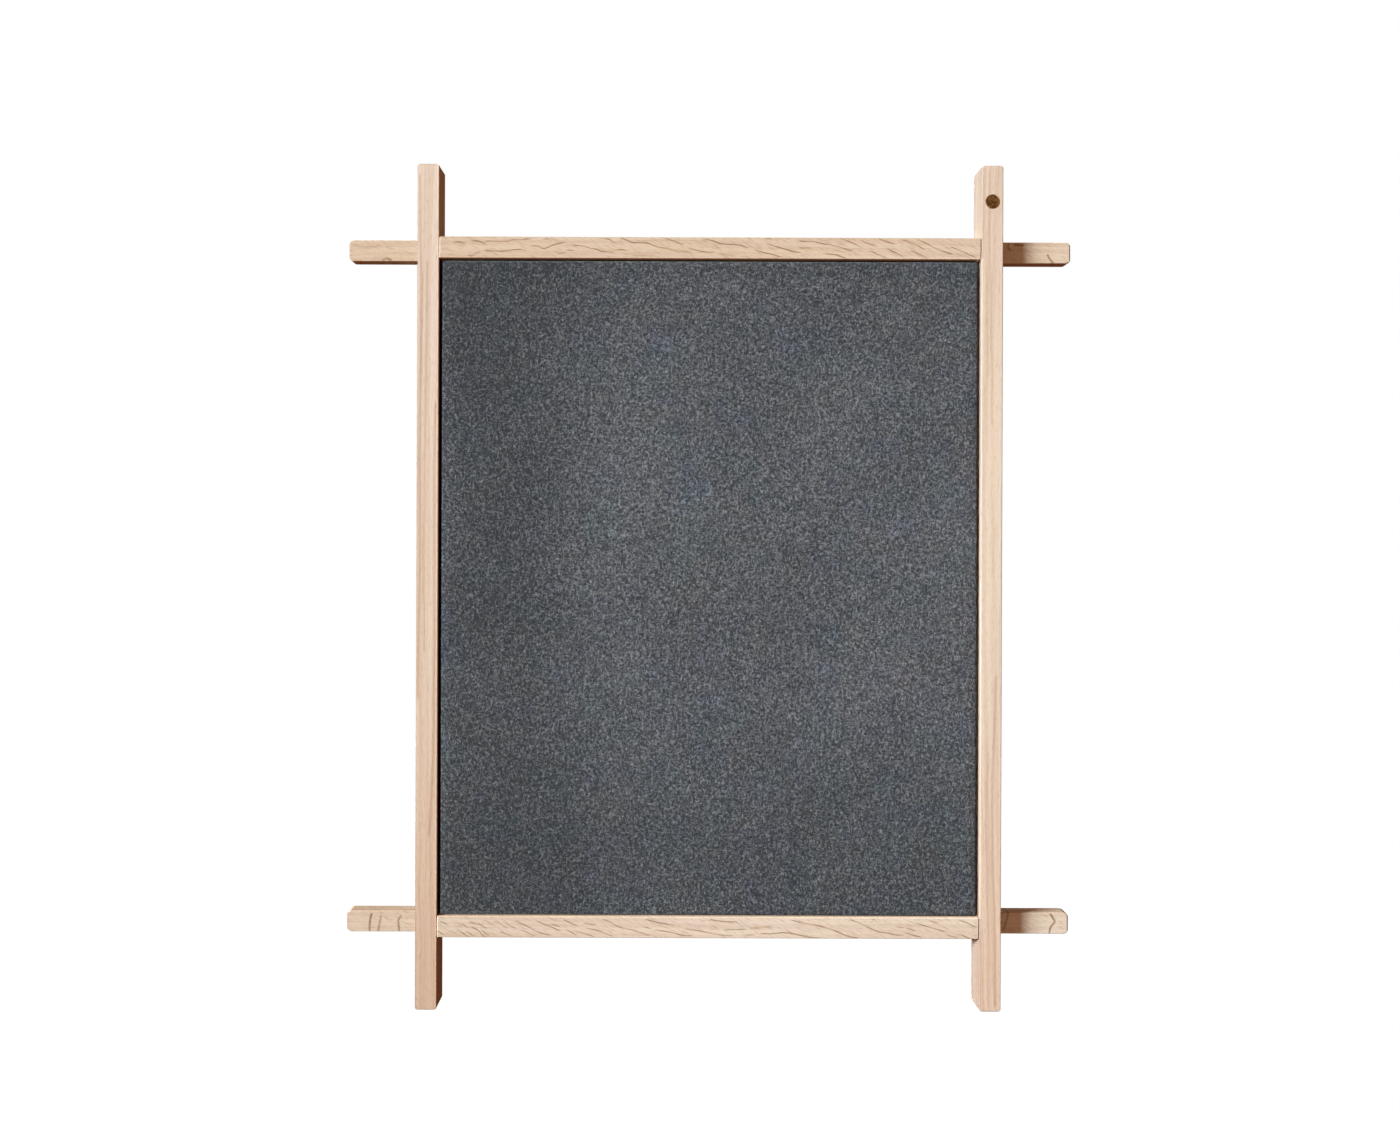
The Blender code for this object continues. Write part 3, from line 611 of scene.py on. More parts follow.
# %% Where strokes and veins lie
TOP_RAIL_RUNS = [
    [[(-236.2, 4.2), (-229.9, 4.8), (-225.9, 3.5)], [(-219.0, 6.3), (-211.5, 5.2), (-205.7, 1.6)],
     [(-164.3, 1.4), (-157.4, 1.0), (-154.0, -1.8), (-149.9, -0.3), (-144.1, 2.3), (-133.3, 5.0)],
     [(-126.4, 2.0), (-116.5, 1.2), (-110.8, -0.7), (-105.0, -1.5), (-100.4, -3.4), (-90.1, -4.8)],
     [(-82.6, 8.5), (-77.4, 7.2), (-72.8, 4.6), (-61.2, 4.5), (-55.5, 3.6), (-48.6, 0.5), (-39.4, -0.8)],
     [(-19.8, -0.5), (-14.1, -2.0), (-7.2, -3.7), (3.2, -4.1)],
     [(40.6, -1.5), (49.2, -4.2), (57.3, -5.8), (65.4, -8.5)],
     [(81.5, 6.5), (96.4, 6.0), (102.2, 4.4), (111.4, 3.1), (120.6, 0.7), (130.9, -2.5)],
     [(138.4, 8.3), (142.4, 5.2), (150.5, 3.0), (152.8, 2.2)],
     [(163.7, -0.7), (171.3, -4.0), (175.9, -6.7), (179.3, -9.2)],
     [(185.1, -1.7), (192.0, -5.0), (196.6, -7.1), (200.5, -9.3)],
     [(221.3, 1.8), (229.9, -1.5), (236.8, -4.7), (244.3, -8.0)]],
    [[(-222.4, -7.9), (-217.8, -7.9)],
     [(-208.0, -2.9), (-200.6, -3.6), (-190.2, -3.7), (-183.3, -2.7), (-174.0, -1.9), (-170.1, -3.6)],
     [(-153.3, 7.5), (-148.2, 8.2)], [(-141.3, -5.8), (-133.8, -5.1)],
     [(-97.5, 8.4), (-92.4, 7.4), (-87.2, 3.3)], [(-41.2, 9.0), (-35.9, 6.8), (-31.3, 5.4), (-25.1, 2.6)],
     [(-5.4, 7.7), (1.5, 7.0), (8.9, 3.9), (19.3, 3.1), (27.3, 2.7), (34.2, 0.2)],
     [(51.5, 8.7), (55.5, 8.6)], [(83.1, 0.0), (93.5, 0.5)],
     [(106.8, -5.1), (116.0, -6.0), (121.7, -8.1), (126.3, -9.4)],
     [(147.6, -2.4), (152.8, -4.9), (157.4, -6.8), (161.4, -9.3)],
     [(177.0, 8.5), (183.9, 5.4), (189.7, 3.2), (197.7, -1.1)]],
    [[(-217.2, -6.8), (-215.5, -5.5), (-212.3, -5.3)],
     [(-206.9, 5.7), (-196.0, 5.3), (-186.2, 5.2), (-182.7, 6.9), (-172.9, 7.0), (-166.0, 7.9)],
     [(-131.5, -2.5), (-126.4, -2.8)], [(-86.6, -1.7), (-76.3, -2.5)],
     [(53.2, 3.6), (64.2, 0.3), (73.4, -2.2), (82.0, -4.0)],
     [(121.7, 8.5), (128.6, 6.0), (133.2, 4.1), (139.6, 0.6)], [(156.2, 8.6), (162.0, 6.2), (170.1, 3.8)],
     [(191.3, 8.3), (200.0, 4.4), (205.8, 1.1), (211.5, -1.6), (223.0, -5.1)]],
]
BOTTOM_RAIL_RUNS = [
    [[(-247.9, -4.0), (-242.7, -8.2)], [(-237.6, -3.4), (-231.2, -6.5)], [(-226.6, 2.8), (-220.9, -0.6)],
     [(-211.7, 3.0), (-207.1, 1.0), (-203.6, -2.2)],
     [(-196.1, 6.4), (-192.1, 4.2), (-189.2, 1.0), (-184.6, -0.8)],
     [(-177.7, 6.6), (-170.8, 2.7), (-163.9, -0.4), (-160.4, -1.5)], [(-144.3, 2.9), (-136.3, 0.3)],
     [(-129.4, -2.9), (-124.8, -5.0), (-120.7, -7.7)], [(-114.4, 4.1), (-104.1, 2.0)],
     [(-96.6, 7.7), (-90.3, 4.8), (-84.5, 1.5), (-78.7, -0.6), (-69.5, -2.4), (-59.1, -5.6), (-53.4, -7.7)],
     [(-48.8, -2.1), (-39.6, -3.5), (-31.5, -4.9), (-23.5, -7.3), (-14.8, -7.7)],
     [(1.8, 7.5), (11.0, 6.0), (17.9, 5.3), (27.7, 5.4)], [(34.1, -6.7), (42.7, -6.5)],
     [(49.1, -5.3), (58.3, -5.6), (68.6, -4.4), (77.8, -5.0), (84.7, -6.8), (95.1, -8.6), (103.1, -9.3)],
     [(131.3, 7.6), (138.8, 5.2), (145.7, 2.1), (150.4, -0.6), (157.3, -3.3), (164.2, -4.1), (171.1, -5.9),
      (179.6, -6.9)],
     [(192.3, 4.6), (199.8, 2.3), (206.7, 0.4), (218.2, -3.0)], [(232.0, 7.7), (238.9, 5.2), (247.0, 0.9)]],
    [[(-245.6, 5.0), (-238.7, 1.4)], [(-228.9, -3.9), (-224.9, -6.0), (-221.2, -8.9)],
     [(-208.2, -3.3), (-201.9, -8.0)], [(-191.0, -4.2), (-186.9, -5.8), (-181.1, -8.4)],
     [(-171.9, -2.5), (-167.3, -4.6), (-159.3, -8.2)], [(-132.2, 6.7), (-127.1, 4.1), (-120.2, 1.2)],
     [(-112.1, -0.7), (-101.8, -2.8), (-96.0, -4.9), (-87.4, -8.5)], [(-58.6, 0.6), (-52.9, -1.0)],
     [(-21.7, -1.3), (-12.0, -2.4), (-2.8, -3.7), (4.1, -5.5), (13.3, -6.8), (22.0, -7.4)],
     [(76.7, 7.4), (85.9, 4.8), (90.5, 4.0), (99.7, 2.7), (107.7, 0.6), (115.8, -1.9), (121.5, -4.5),
      (128.4, -7.5), (138.8, -9.2)],
     [(152.7, 8.6), (154.3, 6.6)], [(173.4, 1.7), (180.3, 0.6)], [(204.4, 7.2), (211.3, 4.6)],
     [(220.5, -6.2), (230.9, -8.6)]],
    [[(-221.5, -4.2), (-215.7, -8.8)], [(-205.9, 6.8), (-201.9, 4.2)],
     [(-186.9, 4.8), (-182.3, 1.1), (-177.2, -1.0)], [(-161.6, -2.5), (-154.7, -5.2), (-145.5, -7.4)],
     [(-121.3, -3.9), (-113.3, -5.8), (-105.2, -8.6)],
     [(-56.8, 7.5), (-48.8, 5.0), (-40.7, 3.9), (-31.0, 1.8)], [(15.1, -2.0), (24.8, -1.8), (34.1, -1.4)],
     [(183.7, -0.1), (191.1, -2.3)], [(232.0, -5.3), (236.6, -7.3), (241.8, -9.6)]],
    [[(-219.2, 4.6), (-213.4, 2.5)], [(-202.5, 4.7), (-196.1, 0.5)],
     [(-157.0, 5.4), (-150.1, 2.3), (-143.2, -0.3), (-136.3, -3.5)],
     [(183.7, -4.7), (190.6, -6.9), (196.4, -8.0)]],
    [[(-218.0, -0.1), (-211.7, -2.7), (-207.1, -8.0), (-205.4, -9.1)]],
]
TOP_RAIL_VEINS = [
    (1.0, [[(-71.7, -7.4), (-52.0, -7.5)], [(-39.4, -1.3), (-27.9, -3.4), (-17.8, -3.7)],
           [(7.8, -5.5), (22.7, -7.1)]]),
    (0.7, [[(-335.3, 9.4), (-323.2, 6.7), (-313.8, 7.1), (-307.3, 9.0)]]),
]
BOTTOM_RAIL_VEINS = [(1.0, [[(38.7, -0.9), (50.2, 0.8), (58.3, 1.2)]])]
LEFT_STILE_VEINS = [
    (1.0, [[(-103.0, 7.9), (-48.2, 7.5), (-11.4, 6.7), (34.7, 6.4), (71.5, 6.5), (112.9, 6.9), (154.4, 6.8),
            (200.4, 6.4), (237.3, 6.2), (283.3, 5.9), (320.0, 7.0), (380.0, 7.5)]]),
    (0.8, [[(-60.0, 2.3), (-48.2, 2.4), (-11.4, 2.7), (34.7, 2.8), (71.5, 2.3), (112.9, 2.2), (154.4, 1.9),
            (200.4, 1.4), (237.3, 0.8), (283.3, 0.6), (300.0, 0.4)]]),
    (1.0, [[(-230.0, -3.0), (-175.3, -5.8), (-133.9, -7.1), (-92.4, -6.9), (-48.2, -7.2), (-11.4, -6.6),
            (34.7, -6.4), (71.5, -6.4), (112.9, -6.3), (154.4, -7.0), (170.0, -7.4)]]),
]
RIGHT_STILE_VEINS = [
    (1.0, [[(-385.0, -4.5), (-368.8, -4.5), (-341.1, -4.4), (-299.7, -3.8), (-258.2, -1.8), (-216.8, -1.5),
            (-175.3, -1.4), (-133.9, -3.0), (-94.3, -4.0), (-80.0, -4.4)]]),
    (0.5, [[(-385.0, 1.7), (-341.1, 1.6), (-299.7, 2.2), (-258.2, 3.2), (-216.8, 4.6), (-175.3, 3.5),
            (-150.0, 2.9)]]),
    (0.5, [[(194.9, 4.0), (239.3, 5.0), (283.7, 5.1), (329.0, 7.2), (366.0, 7.3), (388.0, 7.3)]]),
    (0.5, [[(150.0, 0.0), (194.9, 0.3), (239.3, 1.3), (283.7, 1.9), (316.0, 3.0), (366.0, 3.1),
            (388.0, 3.1)]]),
]
TOP_RAIL_STROKES = [
    [(-305.4, -8.9), (-301.7, -7.1), (-297.0, -8.9)],
    [(279.1, 8.6), (278.2, 4.8), (281.0, 2.0)],
    [(284.0, 7.4), (293.0, 6.8)],
    [(315.2, -1.4), (317.7, -6.2), (321.1, -9.6)],
]
BOTTOM_RAIL_STROKES = [
    [(-313.3, 7.2), (-314.9, 1.4), (-315.4, -9.6)],
    [(-304.6, 5.4), (-307.3, -9.5)],
    [(-285.9, 5.5), (-288.7, 0.8), (-287.7, -9.4)],
    [(280.9, 9.9), (279.1, 2.4), (276.3, -7.0)],
    [(320.1, 9.1), (324.8, 1.6), (320.2, -4.0), (319.3, -9.6)],
]

print("runs of strokes:", len(TOP_RAIL_RUNS), "and", len(BOTTOM_RAIL_RUNS))

# %% [markdown]
# ## Dressing the bars
#
# Each bar is a different piece of wood, with its own seed, its own slope and bend of the grain, and its own
# tones at the low end, the middle and the high end, which hold painted light falloff as well as the wood's own
# colours. The lamps learn here which bars they light.

# %% Dressing the bars
BARS = {
    # In each row the arris tint is a painted highlight, the gap share painted shade, and the tones hold painted
    # falloff.
    "left_stile": dict(
        upright=True, seed=11.0, grain=(0.002, 0.02, 0.4), inner=-1.0, arris_highlight_tint=1.28, highlight_share=1.0,
        tones_and_falloff=[(214, 190, 168), (230, 214, 196), (229, 214, 197)], gap_shade=1.0, veins=LEFT_STILE_VEINS,
    ),
    "right_stile": dict(
        upright=True, seed=23.0, grain=(-0.003, 0.04, 0.5), inner=1.0, arris_highlight_tint=1.06,
        tones_and_falloff=[(227, 206, 187), (235, 222, 204), (231, 215, 198)], veins=RIGHT_STILE_VEINS,
    ),
    "top_rail": dict(
        upright=False, seed=37.0, grain=(0.01, 0.05, 0.6), inner=-1.0, arris_highlight_tint=1.17,
        tones_and_falloff=[(222, 204, 180), (223, 206, 184), (227, 212, 191)], veins=TOP_RAIL_VEINS,
        runs=TOP_RAIL_RUNS, strokes=TOP_RAIL_STROKES,
    ),
    "bottom_rail": dict(
        upright=False, seed=53.0, grain=(0.01, -0.05, 0.6), inner=1.0, arris_highlight_tint=1.12,
        tones_and_falloff=[(222, 207, 188), (231, 219, 203), (231, 220, 203)], veins=BOTTOM_RAIL_VEINS,
        runs=BOTTOM_RAIL_RUNS, strokes=BOTTOM_RAIL_STROKES,
    ),
}

sanded = {}
for bar, facts in BARS.items():
    low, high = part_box(bar)
    length = max(high - low)
    finish = oak(bar + "_oak", middle(bar), length, **facts)
    rounding = (middle(bar), length, facts["upright"])
    sanded[bar] = sanded_copy(bar + "_sanded", bar, finish, rounding)
stiles = [sanded["left_stile"], sanded["right_stile"]]
for lamp in lamps["most_pieces"]:
    link_light(lamp, stiles, "EXCLUDE")
for name in ("left_stile", "right_stile"):
    for lamp in lamps[name]:
        link_light(lamp, [sanded[name]], "INCLUDE")
print("bars dressed:", sorted(BARS))

# %% [markdown]
# ## Melange felt
#
# The panel's cover is wool felt made of fibres dyed in several greys. From close by one sees short pale fibres
# that curl in every direction over a darker ground, and soft patches that lean to blue, green or purple where
# one batch of wool dominates. Towards the left, bottom and top edges the felt is painted darker, as painted
# shade where the light falls off and where the top rail's shadow falls. A photograph of felt would repeat; noise
# doesn't. Straight fibres are a noise stretched in one direction, and curled ones are the winding lines where a
# smooth noise passes its middle value. The places that both read are stirred first. Their sum with two finer
# noises, the clouds and the painted edge shade is squared, because pale fibres are few on a dark ground.

# %% Melange felt
FIBRE_SIZE = (0.0044, 0.0011)
FIBRE_ANGLES_DEGREES = (4.0, 93.0)
STIR_SIZE = 0.0050
STIR_REACH = 0.0030
CURL_SIZES = (0.0034, 0.0026)
CURL_WIDTH = 0.066
GRAIN_SIZE = 0.0024
FLUFF_SIZE = 0.0011
CLOUD_SIZE = 0.028
PATCH_SIZE = 0.15
MIDDLE_TONE = 0.455
FELT_RELIEF = 0.00030
HUES = [
    ((1.0, 1.0, 1.3), 0.034, (0.48, 0.66), (0.945, 0.965, 1.055, 1.0)),
    ((1.2, 1.0, 1.0), 0.040, (0.46, 0.64), (1.01, 0.985, 0.98, 1.0)),
    ((1.0, 1.2, 1.1), 0.036, (0.48, 0.64), (0.925, 1.005, 0.99, 1.0)),
]
# Painted shade towards the felt's left, bottom and top edges, where light falls off and the top rail shades it.
PAINTED_EDGE_SHADES = [
    (0, -0.200, -0.070, 0.13),
    (2, -0.610, -0.380, 0.11),
    (2, 0.000, -0.170, 0.09),
    (2, -0.010, -0.036, 0.05),
]


def stirred(tree, place, size, reach):
    """Places shifted by a smooth random amount."""
    centred = vector_calc(tree, "SUBTRACT", vary(tree, place, size, 1.0, 1), (0.5, 0.5, 0.5))
    return vector_calc(tree, "MULTIPLY_ADD", centred, (reach, reach, reach), place)


def curls(tree, place, size, width):
    """Thin winding lines, where a smooth noise passes its middle value, broken up by a second noise."""
    off = calc(tree, "ABSOLUTE", calc(tree, "SUBTRACT", vary(tree, place, size, 1.0), 0.5))
    line = calc(tree, "SUBTRACT", 1.0, between(tree, off, width * 0.2, width))
    pieces = between(tree, vary(tree, scaled(tree, place, (1.0, 1.0, -1.0)), size, 0.0), 0.44, 0.56)
    return times(tree, line, pieces)


def felt(name, dark, pale, contrast, edge_shades):
    """Wool felt from dark to pale. An edge shade, which is painted shade, is an axis, its darkest and lightest
    place, and a share.
    """
    constants = {"Roughness": 0.95, "Specular IOR Level": 0.12, "Sheen Weight": 0.08, "Sheen Roughness": 0.6}
    material, tree, shader = new_material(name, constants)
    place = piece_place(tree)
    curled = stirred(tree, place, STIR_SIZE, STIR_REACH)
    pale_fibres = 0.0
    for angle in FIBRE_ANGLES_DEGREES:
        one_way = between(tree, fibres(tree, curled, angle, FIBRE_SIZE), 0.56, 0.70)
        pale_fibres = calc(tree, "MAXIMUM", pale_fibres, one_way)
    for size in CURL_SIZES:
        pale_fibres = calc(tree, "MAXIMUM", pale_fibres, curls(tree, curled, size, CURL_WIDTH))
    grain = vary(tree, place, GRAIN_SIZE, 0.0)
    fluff = vary(tree, curled, FLUFF_SIZE, 1.0)
    cloud = vary(tree, place, CLOUD_SIZE, 2.0)
    patch = vary(tree, place, PATCH_SIZE, 1.0)
    split = tree.nodes.new("ShaderNodeSeparateXYZ")
    tree.links.new(place, split.inputs[0])
    shares = [
        (pale_fibres, 0.28, 0.44), (grain, 0.5, 0.58), (fluff, 0.5, 0.42),
        (cloud, 0.5, 0.07), (patch, 0.5, 0.20),
    ]
    # Painted shade towards some edges.
    for axis, edge, inside, share in edge_shades:
        shares.append((between(tree, split.outputs[axis], edge, inside), 1.0, share))
    tone = MIDDLE_TONE
    for pattern, average, share in shares:
        swing = times(tree, calc(tree, "SUBTRACT", pattern, average), share * contrast)
        tone = calc(tree, "ADD", tone, swing)
    tone = calc(tree, "MAXIMUM", tone, 0.0)
    colour = mix(tree, times(tree, tone, tone), paint(*dark), paint(*pale))
    for stretch, size, span, factors in HUES:
        batch = between(tree, vary(tree, scaled(tree, place, stretch), size, 3.0), *span)
        colour = tint(tree, batch, colour, factors)
    paint_surface(tree, shader, colour, tone, FELT_RELIEF)
    return material


dark_felt = felt("melange_felt", (45, 50, 54), (148, 155, 162), 1.0, PAINTED_EDGE_SHADES)
pale_felt = felt("pressed_pad_felt", (192, 188, 180), (236, 232, 224), 0.6, ())
print("felts:", dark_felt.name, pale_felt.name)

# %% [markdown]
# ## The felt cover
#
# The felt is one sheet, pulled over the front and the edges of the soft core and folded on to its back as a
# hem. It could be a draped cloth simulation, but felt that is stretched over a board shows no folds, only soft
# edges and a surface that isn't quite flat. So the sheet is modelled directly: a box with its front edges
# rounded, its back opened inside the hem, and a grid on its front that is pressed in by up to a third of a
# millimetre. The wall's thickness comes last, inwards.

# %% The felt cover
FELT_THICKNESS = 0.0012
FELT_HEM = 0.030
FELT_EDGE_RADIUS = 0.0025
EDGE_STEPS = 5
GRID_CUTS = 60
DIMPLE_SIZE = 0.055
DIMPLE_DEPTH = 0.00035


def felt_cover(node):
    """The wrapped sheet in the space of its plain solid."""
    low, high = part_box(node)
    shape = bmesh.new()
    place = Matrix.Translation((low + high) / 2) @ Matrix.Diagonal((*(high - low), 1.0))
    bmesh.ops.create_cube(shape, size=1.0, matrix=place)
    back = [face for face in shape.faces if face.normal.y > 0.9]
    bmesh.ops.inset_region(shape, faces=back, thickness=FELT_HEM, use_even_offset=True)
    bmesh.ops.delete(shape, geom=back, context="FACES")

    front_y = low.y + FELT_EDGE_RADIUS
    rounded = [edge for edge in shape.edges if min(point.co.y for point in edge.verts) < front_y]
    bmesh.ops.bevel(
        shape, geom=rounded, offset=FELT_EDGE_RADIUS, offset_type="OFFSET", affect="EDGES",
        segments=EDGE_STEPS, profile=0.5, material=-1,
    )
    flat = [face for face in shape.faces if face.normal.y < -0.999]
    front = max(flat, key=lambda face: face.calc_area())
    bmesh.ops.subdivide_edges(shape, edges=front.edges[:], cuts=GRID_CUTS, use_grid_fill=True)
    for point in shape.verts:
        if abs(point.co.y - low.y) < MERGE_DISTANCE:
            dimple = noise.noise(point.co / DIMPLE_SIZE)
            edge_gap = min(point.co.x - low.x, high.x - point.co.x, point.co.z - low.z, high.z - point.co.z)
            share = min(1.0, max(0.0, edge_gap / DIMPLE_SIZE))
            point.co.y += DIMPLE_DEPTH * share * (0.5 + 0.5 * dimple)
    return shape


cover = finish_piece("felt_cover", felt_cover("fabric_cover"), dark_felt, ["fabric_cover"])
wall = cover.modifiers.new("felt thickness", "SOLIDIFY")
wall.thickness = FELT_THICKNESS
wall.offset = -1.0
wall.use_even_offset = True
print("felt cover faces:", len(cover.data.polygons))

# %% [markdown]
# ## Boards behind the felt
#
# The pins go into raw softboard, a pale brown mat of wood fibre, and a thin hardboard closes the back of the
# frame. Hardboard's outer side shows dark flecks and the print of the wire screen it was pressed on. Both
# pieces are right as they are in the frame, so they only get their material.

# %% Boards behind the felt
SCREEN_PITCH = 0.0016
BANDS_PER_UNIT = 0.314
WISPS = [(20.0, (0.0060, 0.0007), (0.58, 0.74)), (105.0, (0.0050, 0.0006), (0.60, 0.76))]
WISP_STIR_SIZE = 0.008
WISP_STIR_REACH = 0.006
SHADE_SIZE = 0.045
SHADED_SHARE = 0.93
WIRE_TINT = (0.6, 0.58, 0.55, 1.0)
PRESSED_RELIEF = 0.00015


def fibreboard(name, tone, fleck, screen):
    """Pressed wood fibre with flecks, and the print of a wire screen where screen is above 0."""
    material, tree, shader = new_material(name, {"Roughness": 0.78, "Specular IOR Level": 0.3})
    place = piece_place(tree)
    curled = stirred(tree, place, WISP_STIR_SIZE, WISP_STIR_REACH)
    wisps = [between(tree, fibres(tree, curled, angle, size), *span) for angle, size, span in WISPS]
    shade = between(tree, vary(tree, place, SHADE_SIZE, 3.0), 0.35, 0.65)
    colour = mix(tree, shade, paint(*tone), paint(*[SHADED_SHARE * part for part in tone]))
    colour = mix(tree, times(tree, calc(tree, "MAXIMUM", *wisps), 0.55), colour, paint(*fleck))
    wires = []
    for direction in ("X", "Z"):
        settings = {"wave_type": "BANDS", "bands_direction": direction}
        inputs = {"Vector": place, "Scale": BANDS_PER_UNIT / SCREEN_PITCH}
        wires.append(add_node(tree, "ShaderNodeTexWave", settings, inputs, 1))
    weave = times(tree, *wires)
    colour = tint(tree, times(tree, weave, 0.25 * screen), colour, WIRE_TINT)
    relief = calc(tree, "MULTIPLY_ADD", weave, -screen, times(tree, wisps[0], 0.4))
    paint_surface(tree, shader, colour, relief, PRESSED_RELIEF)
    return material


def dress(node, material):
    """Give a frame piece its material and leave its shape alone."""
    piece = nodes[node]
    piece.data.materials.clear()
    piece.data.materials.append(material)


dress("pin_core", fibreboard("raw_softboard", (176, 150, 116), (206, 184, 150), 0.0))
dress("backing_board", fibreboard("screen_pressed_hardboard", (134, 99, 70), (88, 60, 41), 1.0))
print("boards dressed: pin_core, backing_board")

# %% [markdown]
# ## The badge
#
# A small round stud of dark aged brass sits in a shallow counterbore near the right stile's top. It is a turned
# piece: half its outline is drawn once and spun about its axis, which is how a lathe makes it. Its face is bare
# and lies a little lower than its rim. Aged brass isn't one brown: the rim and the high spots are rubbed
# lighter, the face is mottled, and the lathe left fine rings that spread the light.

# %% The badge
BADGE_OUTLINE = [
    (0.0, 0.00016), (0.0053, 0.00016), (0.0056, 0.00013), (0.00585, 0.00003), (0.0060, 0.0), (0.0062, 0.00002),
    (0.00636, 0.00012), (0.0064, 0.00030), (0.0064, 0.00118), (0.00628, 0.0013), (0.0016, 0.0013),
    (0.0015, 0.0014), (0.0015, 0.0064), (0.0011, 0.0068), (0.0, 0.0068),
]
TURNING_STEPS = 96
RIM_RADII = (0.005504, 0.005952)
MOTTLE_SIZE = 0.0022
SPOT_SIZE = 0.0009
RING_SIZE = 0.00012
RING_RELIEF = 0.000012


def turned_shape(outline, centre, front_y, steps):
    """Spin half an outline, given as radius and depth, about the depth axis."""
    shape = bmesh.new()
    points = [shape.verts.new((centre.x + radius, front_y + depth, centre.z)) for radius, depth in outline]
    edges = [shape.edges.new(pair) for pair in zip(points, points[1:])]
    bmesh.ops.spin(
        shape, geom=points + edges, cent=(centre.x, 0.0, centre.z), axis=(0.0, 1.0, 0.0),
        angle=math.tau, steps=steps, use_merge=True,
    )
    bmesh.ops.remove_doubles(shape, verts=shape.verts, dist=MERGE_DISTANCE)
    return shape


def aged_brass(name, centre):
    """Dark satin brass with lathe rings about a centre."""
    material, tree, shader = new_material(name, {"Metallic": 1.0, "Roughness": 0.42})
    place = add_node(tree, "ShaderNodeMapping", {}, {"Vector": piece_place(tree), "Location": -centre})
    radius = vector_calc(tree, "LENGTH", scaled(tree, place, (1.0, 0.0, 1.0)), output=1)
    rim = between(tree, radius, *RIM_RADII)
    mottle = between(tree, vary(tree, place, MOTTLE_SIZE, 3.0), 0.36, 0.66)
    spots = between(tree, vary(tree, place, SPOT_SIZE, 2.0), 0.58, 0.72)
    colour = mix(tree, mottle, paint(136, 106, 62), paint(190, 158, 110))
    colour = mix(tree, times(tree, spots, 0.5), colour, paint(98, 72, 38))
    colour = mix(tree, times(tree, rim, 0.5), colour, paint(196, 164, 116))
    tree.links.new(calc(tree, "MULTIPLY_ADD", mottle, 0.12, 0.36), shader.inputs["Roughness"])
    ring_place = add_node(tree, "ShaderNodeCombineXYZ", {}, {0: radius})
    paint_surface(tree, shader, colour, vary(tree, ring_place, RING_SIZE, 2.0), RING_RELIEF)
    return material


badge_low, badge_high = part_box("badge_stud")
badge_middle = middle("badge_stud")
badge_shape = turned_shape(BADGE_OUTLINE, badge_middle, badge_low.y, TURNING_STEPS)
badge_brass = aged_brass("aged_brass", badge_middle)
finish_piece("turned_badge", badge_shape, badge_brass, ["badge_stud"])
print("badge front to end of shank in mm:", round((badge_high.y - badge_low.y) * 1000, 2))

# %% [markdown]
# ## Screws
#
# Twenty-two countersunk screws hold the board together from behind. Their heads, cross recesses, shanks and
# tips are right in the frame, but a real screw also has a thread. A thread is a small triangle that turns about
# the screw's axis and climbs by one pitch a turn, which is what spin does when it is given a step along the
# axis. Its two ends are closed by pulling them into the shank.

# %% Screws
THREAD_PITCH = 0.0013
THREAD_HEIGHT = 0.00045
THREAD_START_SHARE = 0.42
THREAD_END_GAP = 0.0030
THREAD_STEPS = 14
THREAD_SUNK_SHARE = 0.4
THREAD_HALF_WIDTH = 0.00039
THREAD_TIP_SHARE = 0.25
BLOTCH_SIZE = 0.004
BRUSH_SIZE = (0.02, 0.0002)
BRUSH_RELIEF = 0.00002
SHANK_RADII = {"lap": 0.00175, "backing": 0.0013, "core": 0.0013, "left": 0.0013, "right": 0.0013}


def add_thread(shape, centre, low_y, high_y, radius):
    """Wind a thread round a shank that runs along Y."""
    start = low_y + THREAD_END_GAP
    turns = max(1, round(((high_y - low_y) * (1.0 - THREAD_START_SHARE) - THREAD_END_GAP) / THREAD_PITCH))
    inner = radius - THREAD_HEIGHT * THREAD_SUNK_SHARE
    corners = [(inner, -THREAD_HALF_WIDTH), (inner + THREAD_HEIGHT, 0.0), (inner, THREAD_HALF_WIDTH)]
    points = [shape.verts.new((centre.x + out, start + rise, centre.z)) for out, rise in corners]
    edges = [shape.edges.new((points[i], points[(i + 1) % 3])) for i in range(3)]
    shape.faces.new(points)
    swept = bmesh.ops.spin(
        shape, geom=points + edges, cent=(centre.x, 0.0, centre.z), axis=(0.0, 1.0, 0.0),
        dvec=(0.0, THREAD_PITCH / THREAD_STEPS, 0.0), angle=math.tau * turns, steps=THREAD_STEPS * turns,
    )
    last = [item for item in swept["geom_last"] if isinstance(item, bmesh.types.BMVert)]
    shape.faces.new(last)
    for end in (points, last):
        tip = sum((point.co for point in end), Vector()) / 3
        towards_axis = Vector((centre.x, tip.y, centre.z))
        seat = towards_axis + (tip - towards_axis).normalized() * inner
        for point in end:
            point.co = seat.lerp(point.co, THREAD_TIP_SHARE)


def plated_steel(name, tone, shade, brushed):
    """Zinc-plated steel: cool, satin, a little blotched, with faint brush lines where asked."""
    material, tree, shader = new_material(name, {"Metallic": 1.0, "Roughness": 0.34})
    place = piece_place(tree)
    blotches = between(tree, vary(tree, place, BLOTCH_SIZE, 3.0), 0.35, 0.66)
    colour = mix(tree, blotches, paint(*tone), paint(*shade))
    tree.links.new(calc(tree, "MULTIPLY_ADD", blotches, 0.14, 0.42), shader.inputs["Roughness"])
    lines = fibres(tree, place, 90.0, BRUSH_SIZE)
    paint_surface(tree, shader, colour, times(tree, lines, brushed), BRUSH_RELIEF)
    return material


zinc = plated_steel("zinc_plating", (178, 175, 166), (154, 152, 147), 0.3)
hanger_zinc = plated_steel("brushed_hanger_zinc", (184, 182, 175), (162, 160, 155), 1.0)

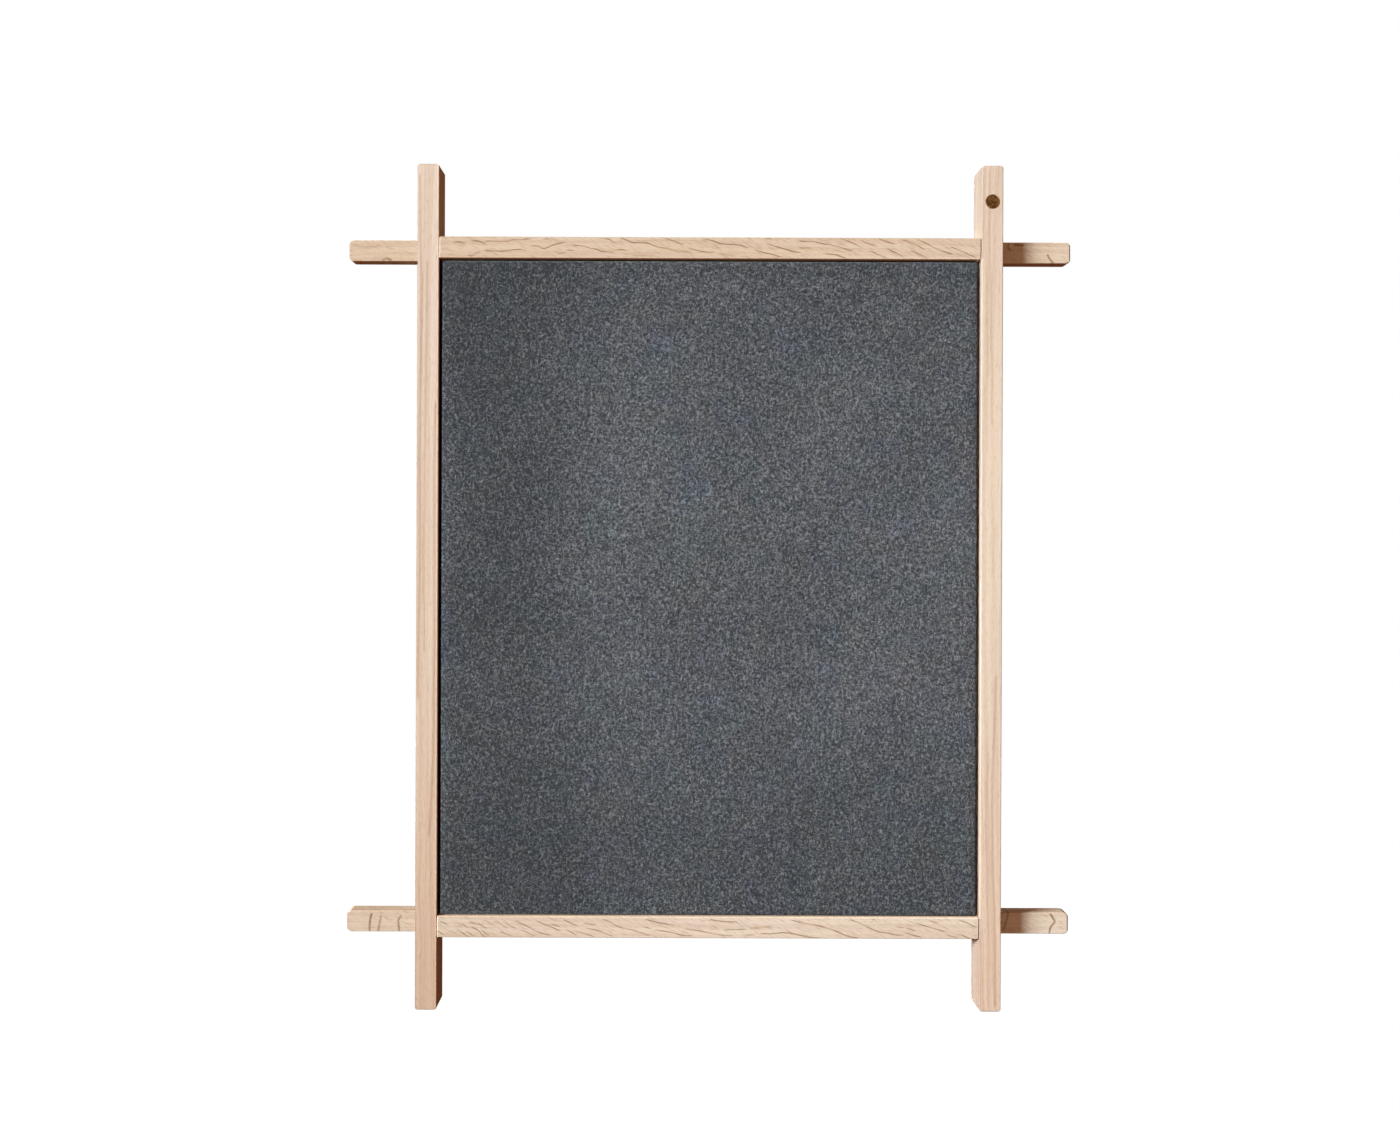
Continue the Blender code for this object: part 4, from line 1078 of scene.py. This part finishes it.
screw_nodes = sorted(name for name in nodes if "screw" in name)
for node in screw_nodes:
    low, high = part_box(node)
    shape = merged_copy(node)
    add_thread(shape, middle(node), low.y, high.y, SHANK_RADII[node.split("_")[0]])
    finish_piece("threaded_" + node, shape, zinc, [node])
print("screws threaded:", len(screw_nodes))

# %% [markdown]
# ## Hangers
#
# Each stile's back has a keyhole plate let in flush: the wall screw's head enters the round hole and the board
# drops until the slot holds it. The plates' shapes are right in the frame. They are stamped from brushed,
# zinc-plated sheet.

# %% Hangers
for node in ("left_hanger", "right_hanger"):
    sanded_copy(node + "_plate", node, hanger_zinc)
print("hangers dressed")

# %% [markdown]
# ## Wall pads
#
# Two discs of pale pressed felt behind the lower crossings keep the board parallel to the wall and off the
# paint. Felt that is stamped out has a crisp outline but a soft face, so the turned outline swells a little in
# the middle and rounds off at its edge.

# %% Wall pads
PAD_OUTLINE = [
    (0.0, 0.0), (0.0040, 0.00004), (0.0052, 0.00010), (0.00575, 0.00022), (0.0060, 0.00045), (0.0060, 0.00080),
    (0.0058, 0.0010), (0.0, 0.0010),
]
PAD_STEPS = 64

for side in ("left", "right"):
    node = side + "_wall_pad"
    low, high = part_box(node)
    outline = [(radius, (high.y - low.y) - depth) for radius, depth in PAD_OUTLINE]
    shape = turned_shape(outline, middle(node), low.y, PAD_STEPS)
    pad = finish_piece(side + "_felt_pad", shape, pale_felt, [node])

# %% [markdown]
# ## Floor
#
# The board hangs on a wall at about eye height, so the floor is far below it. It is pale and plain, and it
# isn't part of the object.

# %% Floor
FLOOR_DROP = 1.1
FLOOR_SIZE = 8.0

floor_shape = bmesh.new()
bmesh.ops.create_grid(floor_shape, x_segments=1, y_segments=1, size=FLOOR_SIZE / 2)
floor_mesh = bpy.data.meshes.new("pale_floor")
floor_shape.to_mesh(floor_mesh)
floor_shape.free()
floor = bpy.data.objects.new("pale_floor", floor_mesh)
floor.location.z = cad_bounds[0][2] - FLOOR_DROP
scene.collection.objects.link(floor)
FLOOR_PAINT = {
    "Base Color": (0.02, 0.02, 0.02, 1.0),
    "Roughness": 1.0,
    "Specular IOR Level": 0.0,
    "Emission Color": PAPER_WHITE,
    "Emission Strength": 1.0,
}
floor_mesh.materials.append(new_material("pale_floor", FLOOR_PAINT)[0])
floor.visible_diffuse = False
floor.visible_glossy = False
